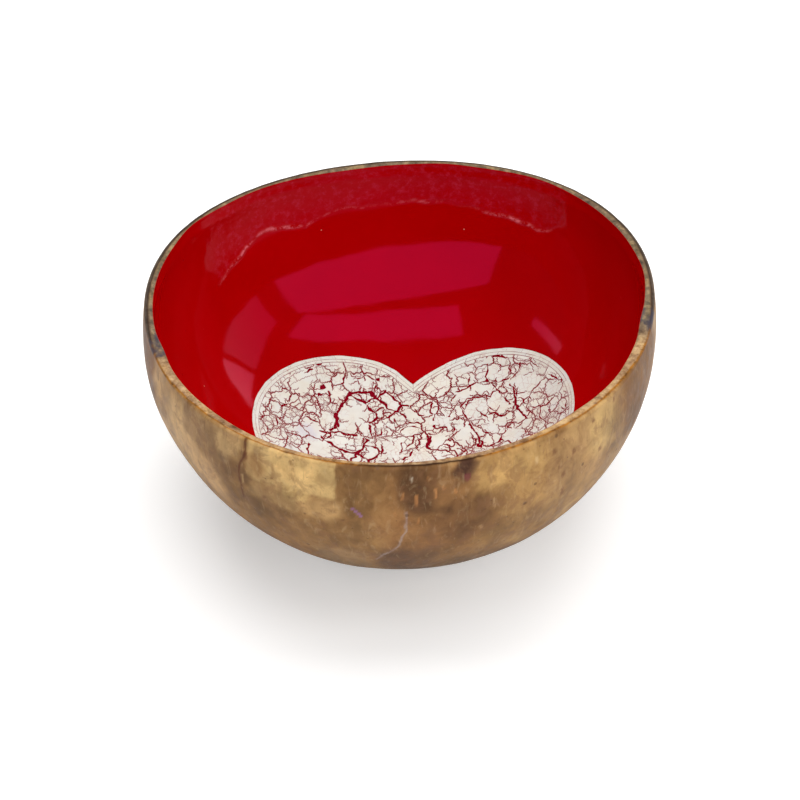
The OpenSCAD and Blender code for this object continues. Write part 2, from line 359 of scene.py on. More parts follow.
# Patches of the outside, in the order in which they are laid: from and to direction, from and to height,
# softness of the edge in millimetres, strength, colour as it shows
PATCHES = (
    (225, 292, 20, 51, 6, 0.75, (140, 104, 66)), (286, 303, 34, 57, 5, 0.7, (142, 108, 68)),
    (300, 330, 36, 64, 6, 0.75, (160, 126, 86)), (257, 268, 46, 64, 3, 0.7, (134, 98, 62)),
    (200, 212, 38, 64, 4, 0.7, (190, 152, 108)), (209, 219, 44, 59, 2.5, 0.8, (192, 158, 117)),
    (216, 229, 37, 50, 3, 0.8, (186, 150, 110)), (216.5, 233.5, 51.5, 61, 0.9, 0.8, (148, 116, 82)),
    (228.5, 235.5, 54.5, 63.5, 1.2, 0.85, (202, 166, 118)), (237, 258, 46.5, 54, 1.8, 0.8, (184, 148, 102)),
    (236.6, 255.0, 53.2, 64.5, 0.9, 0.95, (212, 178, 124)), (245, 252, 50.0, 54, 0.9, 0.75, (206, 174, 118)),
    (236.8, 241, 54.5, 60, 1.2, 0.6, (150, 106, 66)), (257.3, 259.4, 52, 54.8, 0.5, 0.8, (196, 164, 116)),
    (266.5, 283.5, 34, 65, 3.5, 0.85, (138, 98, 62)), (269, 275, 50, 65, 2.0, 0.8, (78, 52, 34)),
    (275.5, 279, 50, 54, 1.2, 0.7, (84, 56, 38)), (279.6, 284.6, 59.5, 65, 1.0, 0.95, (66, 42, 34)),
    (276, 290, 40, 55, 2.5, 0.6, (104, 72, 46)), (265, 277, 18, 36, 3.0, 0.75, (88, 64, 52)),
    (284.5, 301, 56.5, 65, 2.5, 0.9, (190, 152, 98)), (292, 299, 47, 57, 2.5, 0.6, (176, 138, 88)),
    (303, 312, 44, 58, 2.5, 0.5, (150, 116, 78)), (313, 322, 50, 64.5, 2.5, 0.55, (196, 166, 112)),
    # The dark patch from 326 to 350 is partly the shell's own brown and partly painted shade that darkens the
    # bowl's right side
    (322, 330, 40, 56, 3, 0.5, (162, 130, 92)), (326, 350, 44, 66, 3, 0.8, (108, 72, 38)),
    (348, 362, 36, 60, 4, 0.6, (140, 108, 78)),
    (225, 250, 20, 33, 3, 0.6, (150, 108, 66)), (250, 263, 20, 34, 3, 0.6, (142, 116, 90)),
    (272, 292, 18, 33, 3, 0.5, (136, 102, 70)), (186, 200, 47, 65, 2.0, 0.8, (122, 84, 58)),
    (178, 188, 40, 62, 4, 0.6, (150, 120, 88)), (0, 26, 38, 60, 5, 0.7, (186, 152, 106)),
    (30, 58, 30, 54, 6, 0.7, (118, 86, 56)), (62, 84, 40, 64, 4, 0.8, (196, 162, 110)),
    (84, 98, 48, 64, 2, 0.7, (142, 104, 66)), (96, 124, 50, 65, 3, 0.8, (104, 76, 52)),
    (104, 134, 26, 48, 6, 0.6, (168, 132, 86)), (130, 158, 44, 65, 3, 0.75, (190, 156, 108)),
    (150, 178, 28, 46, 6, 0.7, (124, 90, 58)), (40, 60, 56, 65, 1.5, 0.6, (176, 138, 92)),
)
PALE_EDGE_DIR = 256.6
# Colours as they show: the pale patch and the strip past its edge, the sanded foot, and what the polish does
# to all of them
PALE, PAST_PALE = np.array([212, 178, 124]), np.array([146, 108, 68])
SANDED = np.array([186, 154, 112])
POLISH_TONE = (0.985, 0.975, 0.94)
# Browns between the patches, and the heights of the noise at which they lie
BROWN_STOPS = (-0.55, -0.2, 0.05, 0.3, 0.6)
BROWNS = ((96, 66, 42), (134, 97, 60), (158, 120, 76), (178, 142, 94), (200, 166, 116))
MARK_WOBBLE = 0.25
# One degree round the bowl, in millimetres
DEGREE = np.radians(1) * BOWL_R
# Colours of the marks, as they show
CRACK_BROWN, SPOT_BROWN, SPOT_OCHRE, FLECK = (92, 50, 32), (116, 76, 52), (128, 92, 58), (190, 130, 80)
# Marks: width, strength, colour, then places by direction and height
MARKS = (
    # The crack left of the pale patch, a stroke of violet and the pale scratch below the dark middle. The
    # violet and the pale lilac are painted highlights along scratches
    (0.55, 0.8, CRACK_BROWN, (236.3, 64), (236.4, 59.6), (236.0, 57.5), (235.0, 55), (234.8, 51),
     (235.3, 44)),
    (1.5, 0.6, CRACK_BROWN, (236.3, 58.6), (236.3, 57.4)),
    (0.5, 0.6, (208, 178, 132), (235.7, 52), (235.7, 49.5)),
    (0.6, 0.9, (150, 108, 160), (259.9, 51.2), (260.6, 50.3), (261.5, 49.2)),
    (0.42, 0.6, (172, 162, 176), (270.2, 51), (270.5, 48), (270.4, 45), (269.8, 42), (269, 38), (267.5, 35.5),
     (265.5, 33), (264, 30)),
    # Flecks in the dark middle
    (0.5, 0.8, (214, 204, 190), (271.2, 61.4), (271.3, 60.6)),
    (0.45, 0.8, FLECK, (272.3, 56.2), (272.4, 53.2)),
    (0.4, 0.7, FLECK, (269.7, 57), (269.5, 55)), (0.45, 0.8, (204, 144, 92), (276, 57.4), (276.2, 55)),
    (0.5, 0.7, FLECK, (277.5, 58.4), (277.7, 57.6)), (0.5, 0.7, FLECK, (280, 56.8), (280.1, 56.0)),
    (0.4, 0.7, FLECK, (272.8, 48.4), (272.7, 46.8)), (0.35, 0.6, FLECK, (274.6, 61.5), (274.8, 60.0)),
    (0.35, 0.5, FLECK, (268.2, 51), (268.4, 49.6)), (1.4, 0.8, (112, 36, 62), (282.5, 60.2), (282.6, 59.8)),
    # Right of the middle
    (0.9, 0.6, (214, 184, 142), (297.8, 59.4), (297.7, 58.6)),
    (0.5, 0.6, (206, 176, 134), (288, 52), (288.3, 49)),
    (0.8, 0.5, (200, 168, 124), (285.5, 42.8), (285.6, 42.2)),
    (1.2, 0.65, SPOT_BROWN, (302, 59.2), (302.1, 58.8)),
    (1.0, 0.65, SPOT_BROWN, (307.5, 56.2), (307.6, 55.8)),
    (0.9, 0.6, SPOT_BROWN, (303.5, 54.1), (303.5, 53.9)),
    (1.1, 0.65, SPOT_BROWN, (304.5, 51.2), (304.6, 50.8)), (1.0, 0.6, SPOT_BROWN, (305, 46), (305.2, 43.5)),
    (1.0, 0.6, SPOT_BROWN, (314, 61.1), (314, 60.9)), (1.1, 0.6, SPOT_BROWN, (316, 51.2), (316.1, 50.8)),
    (0.9, 0.6, SPOT_BROWN, (322, 62.1), (322, 61.9)),
    # On the pale patch and left of it
    (0.9, 0.6, SPOT_OCHRE, (247, 61.4), (247.1, 61.2)), (0.8, 0.6, SPOT_OCHRE, (251.5, 58.6), (251.6, 58.4)),
    (0.8, 0.6, SPOT_OCHRE, (243, 55.1), (243.1, 54.9)), (0.7, 0.6, SPOT_OCHRE, (253, 53.6), (253, 53.4)),
    (0.7, 0.6, SPOT_BROWN, (241, 47.6), (241.1, 47.4)), (0.7, 0.6, SPOT_BROWN, (258, 47.1), (258, 46.9)),
    (0.9, 0.6, SPOT_OCHRE, (203, 58.2), (203.2, 57.4)), (1.1, 0.5, SPOT_OCHRE, (207, 50.3), (207.1, 49.7)),
    # Round the back
    (0.5, 0.7, (84, 50, 34), (40, 62), (40.8, 56), (39.6, 50), (41.2, 45)),
    (0.45, 0.6, (188, 176, 170), (118, 50), (121, 45), (122.4, 40), (121.6, 35)),
    (1.1, 0.6, SPOT_BROWN, (72, 55.2), (72.2, 54.8)), (1.0, 0.6, SPOT_BROWN, (141, 52.2), (141.2, 51.6)),
    (1.2, 0.6, SPOT_BROWN, (12, 50.2), (12.2, 49.6)), (0.9, 0.6, SPOT_BROWN, (150, 58), (150.4, 57)),
)
# Directions, from and to, where the lip is grey, and where the skin's line on it is thick, amber with a
# painted glint, or bruised
LIP_GREY = (345, 200)
LINE_THICK = (254, 330)
LINE_AMBER_GLINT = ((196, 261), (286, 349))
LINE_BRUISED = ((191, 200), (349, 357))
# The line lies this deep on the lip, and this much deeper or less deep in places: direction, change, reach
LINE_AT = 1.0
LINE_WANDER = ((299, 0.3, 10), (205, -0.8, 14), (343, -0.75, 12), (60, -0.15, 20), (130, 0.1, 20))


def window(a, start, stop, soft):
    """1 between two directions, going round the way of growing angle, and 0 outside, with soft ends."""
    half = ((stop - start) % 360) / 2
    return smooth_step(half - np.abs(turned(a - start - half)), -soft, soft)


def scattered(a, z, points):
    """Direction and height, moved by smooth noise of three sizes, which gives patches a scalloped edge."""
    sideways, up = (sum(height * noise(points, size, seed + n)
                        for n, (size, height) in enumerate(((9, 1.5), (3.6, 0.9), (1.5, 0.55))))
                    for seed in (31, 36))
    return a + sideways / DEGREE, z + up


def laid_over(rgb, colour, share):
    """A colour laid over others by a share for each point."""
    return rgb + share[..., None] * (colour - rgb)


def patch_share(a, z, start, stop, low, high, soft):
    """1 inside a patch and 0 outside. The corners are rounded: near two edges the room left is less than the
    least of the two."""
    half = ((stop - start) % 360) / 2
    room_a = (half - np.abs(turned(a - start - half))) * DEGREE
    room_z = (high - low) / 2 - np.abs(z - (low + high) / 2)
    room = np.minimum(room_a, room_z) - np.exp(-np.abs(room_a - room_z) / 2.0)
    return smooth_step(room, -soft, soft)


def mark_share(a, z, points, width, places):
    """1 on a line through the places, fading over a third of a millimetre past its width."""
    def spread(a, z):
        return np.stack([turned(a - places[0][0]) * DEGREE, z], -1)

    at = spread(a, z) + MARK_WOBBLE * throw(points, 2.1, 51)
    line = spread(*np.array(places, float).T)
    far = np.min([beside(at, p, q)[2] for p, q in zip(line[:-1], line[1:])], axis=0)
    return smooth_step(width / 2 + 0.22 - far, 0, 0.34)


def outside_colour(a, z, points):
    """Colour of the polished outside: browns that follow smooth noise of four sizes, then the patches, which
    are boxes with soft scalloped edges, the marks, and the edge of the pale patch."""
    lengthwise = points * [1, 1, 0.62]
    cloud = (0.32 * noise(lengthwise, 15, 21) + 0.29 * noise(lengthwise, 6, 22)
             + 0.22 * noise(points, 2.8, 23) + 0.12 * noise(points, 1.3, 24))
    rgb = np.stack([np.interp(cloud, BROWN_STOPS, channel) for channel in np.transpose(BROWNS)], -1)
    a_moved, z_moved = scattered(a, z, points)
    shade = np.clip(1 + 0.38 * cloud, 0.78, 1.12)[..., None]
    for *box, strength, colour in PATCHES:
        rgb = laid_over(rgb, colour * shade, strength * patch_share(a_moved, z_moved, *box))
    for width, strength, colour, *places in MARKS:
        rgb = laid_over(rgb, colour, strength * mark_share(a, z, points, width, places))
    # The pale patch ends in a straight edge along a meridian, with a darker strip past it
    side = smooth_step(a + 0.25 * noise(points, 2.0, 25), PALE_EDGE_DIR + 0.35, PALE_EDGE_DIR - 0.35)
    side = side * smooth_step(a, 248, 253) * smooth_step(z_moved, 52.8, 53.8)
    rgb = laid_over(rgb, PALE * shade, side)
    past = smooth_step(a, PALE_EDGE_DIR + 0.1, PALE_EDGE_DIR + 0.5) * smooth_step(a, 259, 257.5)
    rgb = laid_over(rgb, PAST_PALE * shade, 0.8 * past * smooth_step(z, 52, 54))
    sanded = smooth_step(length(points[..., :2]), FOOT_R + 0.6, FOOT_R - 0.4) * (z < 0.2)
    rgb = laid_over(rgb, SANDED * (1 + 0.25 * cloud)[..., None], 0.85 * sanded)
    # The light falls off towards the foot less than the photo shows, so the colour does the rest
    low = smooth_step(z, 12, 34)
    return np.clip(rgb * POLISH_TONE * (0.80 + 0.20 * low)[..., None], 18, 250)


def shell_directions():
    """Directions of the columns: close together over the front, and three times as wide apart elsewhere."""
    front = np.linspace(FRONT_FROM, FRONT_TO, FRONT_COLUMNS, endpoint=False)
    rest = np.linspace(FRONT_TO, FRONT_FROM + 360, SHELL_COLUMNS - FRONT_COLUMNS, endpoint=False)
    return np.concatenate([front, rest])


def shell_points():
    """Rings of the shell: across the foot, up the outside, over the lip and down the inside."""
    a = shell_directions()
    foot = inside(0, angle_at(0, 0) * np.ones_like(a), a)
    rings = [foot * [share, share, 0] for share in FOOT_SHARES]
    top = angle_at(0, rim_level(a) - LIP_ROUND)
    low = angle_at(0, 0)
    for i in range(OUTSIDE_ROWS):
        rings.append(inside(0, low + (top - low) * i / OUTSIDE_ROWS, a))
    out = rim_level(a) - LIP_ROUND
    outer_r = belly_r(a) * np.sin(np.radians(angle_at(0, out)))
    for turn in np.radians(np.linspace(0, 90, LIP_ROWS)):
        rings.append(round_axis(outer_r - LIP_ROUND * (1 - np.cos(turn)), a, out + LIP_ROUND * np.sin(turn)))
    depth = lip_wall(a)
    t_edge = angle_at(depth, rim_level(a) - LIP_BEVEL)
    edge = inside(depth, t_edge, a)
    bevel = edge + LIP_BEVEL * round_axis(1, a, np.ones_like(a))
    last = rings[-1]
    for i in range(1, LIP_TOP_ROWS):
        rings.append(last + (bevel - last) * i / LIP_TOP_ROWS)
    rings += [bevel, edge]
    for i in range(1, INSIDE_ROWS):
        t = t_edge * (1 - i / INSIDE_ROWS)
        rings.append(inside(wall_at(t, a), t, a))
    return np.array(rings), a


def wear_shell(rings):
    """Moves the outside in by smooth noise: broad dents, finer ones and the grain, and roughens the lip."""
    centre = np.array([0, 0, BELLY_H])
    outwards = unit(rings - centre)
    first = len(FOOT_SHARES)
    lip = first + OUTSIDE_ROWS
    row = np.arange(len(rings))
    dents = sum(depth * (1 + noise(rings, size, 11 + n))
                for n, (size, depth) in enumerate(DENTS))
    fade = np.clip((row - first) / 8, 0, 1) * np.clip((lip + 2 - row) / 10, 0, 1) * (row < lip)
    worn = rings - outwards * (dents * fade[:, None])[..., None]
    rough = 0.05 * (1 + noise(rings, 2.2, 14)) + 0.09 * np.clip(noise(rings, 3.1, 15) - 0.35, 0, 1)
    lip_rows = (row >= lip) & (row < lip + LIP_ROWS + LIP_TOP_ROWS)
    worn[..., 2] -= rough * lip_rows[:, None]
    return worn


def shell_tones(rings, a):
    """Colour of the outside; the parts of the lip: its flat, its outer line, its amber with the painted glint
    on it;
    and its outer stain, its bruises and its back."""
    lip = len(FOOT_SHARES) + OUTSIDE_ROWS
    z = rings[..., 2]
    a = np.broadcast_to(a, z.shape)
    outside = outside_colour(a, z, rings)
    # On the lip, colours go by the depth from the outer edge: the nut's skin shows as a line, and inside it
    # the sawn wall is bare
    r = length(rings[..., :2])
    depth = r[lip] - r
    on_lip = (np.arange(len(rings))[:, None] >= lip) & (depth > 0)
    ragged = 0.10 * noise(rings, 1.6, 27) + 0.08 * noise(rings, 0.7, 28)
    line_at = LINE_AT + bumps(a, LINE_WANDER) + ragged
    back = window(a, *LIP_GREY, 6)
    flat = smooth_step(depth, line_at, line_at + 0.2 + 0.5 * back) * on_lip
    thick = 0.23 + 0.16 * window(a, *LINE_THICK, 6) + 0.09 * noise(rings, 3.0, 29)
    line = np.exp(-((depth - line_at) / thick) ** 2) * on_lip * (1 - 0.35 * back)
    # Where the skin's line is amber: partly its own colour, partly painted light catching it
    amber_glint = sum(window(a, *reach, 3) for reach in LINE_AMBER_GLINT)
    shifted = a + 3.0 * noise(rings, 2.2, 55) + 1.6 * noise(rings, 0.9, 56)
    bruise = sum(window(shifted, *reach, 2.2) for reach in LINE_BRUISED)
    bruise = bruise + 0.7 * noise(rings, 1.3, 30) + 0.3 * noise(rings, 0.7, 57)
    bruise = smooth_step(bruise, 0.5, 1.1) * on_lip
    stain_out = back * on_lip * (1 - flat) * smooth_step(depth, 0.05, 0.3)
    lip_parts, rim_parts = np.stack([flat, line, amber_glint], -1), np.stack([stain_out, bruise, back], -1)
    return shown_light(outside), lip_parts, rim_parts


def make_shell(look):
    rings, a = shell_points()
    worn = wear_shell(rings)
    bottom_in = inside(BASE_WALL, 0.0, 0.0)
    points, faces = bowl_of_rings(worn, [0, 0, 0], bottom_in)
    piece = new_piece("polished_shell", points, faces)

    def with_ends(grid):
        return np.concatenate([[grid[0, 0]], grid.reshape(-1, 3), [grid[-1, 0]]])

    for name, grid in zip(("outside", "lip", "rim"), shell_tones(rings, a)):
        colour_points(piece, name, with_ends(grid))
    # The grain runs from the bottom to the lip: the direction goes round a cylinder, the way up is pressed
    t = np.degrees(np.arccos(np.clip((BELLY_H - rings[..., 2]) / NUT_HALF_H, -1, 1)))
    grain = round_axis(BOWL_R, np.broadcast_to(a, t.shape), np.radians(t) * BOWL_R / GRAIN_STRETCH)
    vector_points(piece, "grain", with_ends(grain))
    piece.data.materials.append(look)
    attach(piece, "root")
    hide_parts("shell")


# Coats

def steps(count):
    """Even shares of a way, up to one."""
    return np.arange(1, count + 1) / count


COAT_COLUMNS = 720
UNDER_HEART_ROWS = 8
# Rows from the heart to the rim, closer together where the last coat sagged
TO_RIM_SHARES = np.concatenate([steps(22) * 0.44, 0.44 + steps(46) * 0.36, 0.80 + steps(16) * 0.20])
# The sagged edge of the last coat: directions, and its heights there
SAG_DIRS = (50, 54, 57, 64, 75, 86, 96, 104, 110, 116, 121, 127, 133, 138, 143)
SAG_LEVELS = (50, 46.4, 45.6, 47.3, 48.8, 50.6, 49.8, 50.9, 50.3, 48.0, 49.6, 50.2, 46.9, 43.6, 41.0)
# The sagged edge stands out most near its two ends, given by direction, reach and strength: there its ridge
# is highest and its painted highlight strongest. Between them it shows along the back
SAG_ENDS = ((128, 12, 1.0), (62, 8, 0.9))
SAG_BACK, SAG_BACK_REACH = 96, 40
SAG_HEIGHT = 0.24
# The ground coat ends this far below the lip, and the red one thins out to these lifts at its edge
GROUND_DROP = 3.6
EDGE_LOW, EDGE_TOP = 0.02, 0.14


def coat_rings(a, lift, drop, shares_in, shares_out):
    """Rings of a coat's face on the flattened inside: from the heart's middle to its edge, and to the rim."""
    direction = a + HEART_TURN
    rim_run = np.radians(angle_at(lip_wall(direction) + lift, rim_level(direction) - drop)) * INNER_R
    rim = rim_run[:, None] * heading(direction)
    edge = placed(heart_edge(a, 0.0))
    within = [HEART_MIDDLE + (edge - HEART_MIDDLE) * share for share in shares_in]
    beyond = [edge + (rim - edge) * share for share in shares_out]
    return np.array(within), np.array(beyond)


def make_ground_coat(look):
    """The first coat, over the inside up to a little below the lip, with a smooth face on both sides."""
    a = np.arange(0, 360, 1.5)
    skins = []
    for lift in (GROUND_LOW, GROUND_TOP):
        within, beyond = coat_rings(a, lift, GROUND_DROP, steps(6), steps(24))
        skins.append(laid(lift, np.concatenate([within, beyond])))
    rings = np.concatenate([skins[0], skins[1][::-1]])
    points, faces = bowl_of_rings(rings, laid(GROUND_LOW, HEART_MIDDLE), laid(GROUND_TOP, HEART_MIDDLE))
    piece = new_piece("ground_lacquer_coat", points, faces)
    piece.data.materials.append(look)
    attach(piece, "root")
    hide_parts("ground_coat")


def lacquer_swell(flat):
    """Height that the brush left on the red face: two sizes of smooth noise, and a sagged edge of the last
    coat along the back, which is a thin ridge."""
    swell = 0.052 * noise(flat, 13, 41) + 0.019 * noise(flat, 5.5, 42)
    ridge, above = sag_shares(flat)
    return swell + SAG_HEIGHT * ridge + above * (0.03 * octaves(flat, 3.2, 45, 3) + 0.03)


def sag_shares(flat):
    """How strongly the sagged edge of the last coat and the mottled band above it show, from 0 to 1."""
    t = length(flat)
    a = bearing(flat)
    turn = np.stack([a, 0 * a], -1)
    level = np.interp(a, SAG_DIRS, SAG_LEVELS) + 0.5 * noise(turn, 5, 43) + 0.35 * noise(turn, 1.9, 44)
    sag_at = np.radians(angle_at(LIP_WALL, level)) * INNER_R
    sides = sum(share * np.exp(-(turned(a - middle) / reach) ** 4) for middle, reach, share in SAG_ENDS)
    sides = sides * (0.75 + 0.5 * noise(turn, 2.6, 46))
    along_back = np.exp(-(turned(a - SAG_BACK) / SAG_BACK_REACH) ** 6)
    along_back = 0.28 * along_back * (0.7 + 0.6 * noise(turn, 3.4, 47))
    ridge = np.exp(-((t - sag_at) / (0.42 + 0.22 * sides)) ** 2)
    above = smooth_step(t, sag_at, sag_at + 1.5) * smooth_step(a, 49, 51.5) * smooth_step(a, 147, 139)
    return ridge * np.clip(sides + along_back, 0, 1), above


def make_red_lacquer(look):
    """The red coat. It is full up to the heart, and runs on lower under the eggshell, where cracks show it.

    Near the lip it thins out and laps over the end of the ground coat on to the bare shell."""
    a = np.arange(COAT_COLUMNS) * 360 / COAT_COLUMNS
    within, beyond = coat_rings(a, EDGE_TOP, COAT_DROP, steps(UNDER_HEART_ROWS), TO_RIM_SHARES)
    low_shares = np.append(steps(12) * 0.95, (0.97, 0.985, 1.0))
    low = np.concatenate(coat_rings(a, EDGE_LOW, COAT_DROP, steps(4), low_shares))
    to_rim = length(low[-1] - low)
    under = laid(EDGE_LOW + (RED_LOW - EDGE_LOW) * smooth_step(to_rim, 1.2, GROUND_DROP), low)
    flat = np.concatenate([within[-1:], beyond])
    to_rim = length(flat[-1] - flat)
    calm = np.clip(np.arange(len(flat)) / 6, 0, 1)[:, None] * np.clip(to_rim / 5, 0, 1)
    lift = EDGE_TOP + (RED_TOP - EDGE_TOP) * smooth_step(to_rim, 0.3, 5.0)
    top = laid(lift + lacquer_swell(flat) * calm, flat)
    bed = laid(RED_BED, placed(heart_edge(a, 0.04)))
    bed_in = laid(RED_BED, within[:-1])
    # Rounded edge below the lip: half way round from the back of the coat to its face
    back, face = under[-1], top[-1]
    bead = [back + (face - back) * (1 - np.cos(turn)) / 2 + np.array([0, 0, 0.06]) * np.sin(turn)
            for turn in np.radians([45, 90, 135])]
    rings = np.concatenate([under, bead, top[::-1], bed[None], bed_in[::-1]])
    points, faces = bowl_of_rings(rings, laid(RED_LOW, HEART_MIDDLE), laid(RED_BED, HEART_MIDDLE))
    piece = new_piece("red_lacquer_lining", points, faces)
    shares = np.zeros(rings.shape)
    start = len(under) + len(bead)
    ridge, above = sag_shares(flat)
    # The ridge's share also sets where the red coat gets its painted highlight
    shares[start:start + len(flat), :, 0] = ridge[::-1]
    shares[start:start + len(flat), :, 1] = above[::-1]
    shares[start + len(flat):, :, 2] = 1
    colour_points(piece, "sag", np.concatenate([[[0, 0, 0]], shares.reshape(-1, 3), [[0, 0, 1]]]))
    piece.data.materials.append(look)
    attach(piece, "root")
    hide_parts("red_lacquer")


# Crackled eggshell: the shell is a field of small grains, and it breaks along the edges between them

CRACKLE_SEED = 7
BORDER_W = 2.3
FIELD_GAP = 0.08
FIELD_INSET = BORDER_W + FIELD_GAP
GRAIN = 0.46
CHIP_BEVEL = 0.03
ROW_RISE = GRAIN * np.sqrt(0.75)
CRACK_STEP = 0.5
# A main crack moves the corners that lie this near to it
CRACK_REACH = 0.9
# From this half width on, a crack swallows the grains that it runs over
WIDE_CRACK = 0.15
# The shell breaks into plates, these into pieces, and those into crumbs; along the top of each lobe it breaks
# into bricks. A crack is between two widths, by its strength
PLATE_SIZE, PLATE_CRACKS = 5.6, (0.14, 0.42)
PIECE_SIZE, PIECE_CRACKS = 3.1, (0.10, 0.28)
CRUMB_SIZE, CRUMB_CRACKS = 1.9, (0.08, 0.17)
BRICK_CRACKS = (0.07, 0.16)
BRICK_LANES = (1.1, 3.5)
BRICK_ARC = (32, 140)
HAIRLINE = 0.02
# How the cracks between plates, pieces and crumbs wander: size of the noise, height
BENDS = ((3.6, 0.9), (1.7, 0.45), (0.9, 0.32))

# Steps from a grain to its six neighbours, anticlockwise, in rows and columns of a slanted grid
AROUND = ((0, 1), (1, 0), (1, -1), (0, -1), (-1, 0), (-1, 1))
# The corner after each neighbour: its kind of triangle, the step to its grid place, and this grain's slot
CORNERS = ((0, (0, 0), 0), (1, (0, 0), 0), (0, (0, -1), 1), (1, (-1, 0), 1), (0, (-1, 0), 2), (1, (-1, 1), 2))
# Grains of the two kinds of triangle, slot by slot
TRIANGLES = (((0, 0), (0, 1), (1, 0)), ((0, 0), (1, 0), (1, -1)))

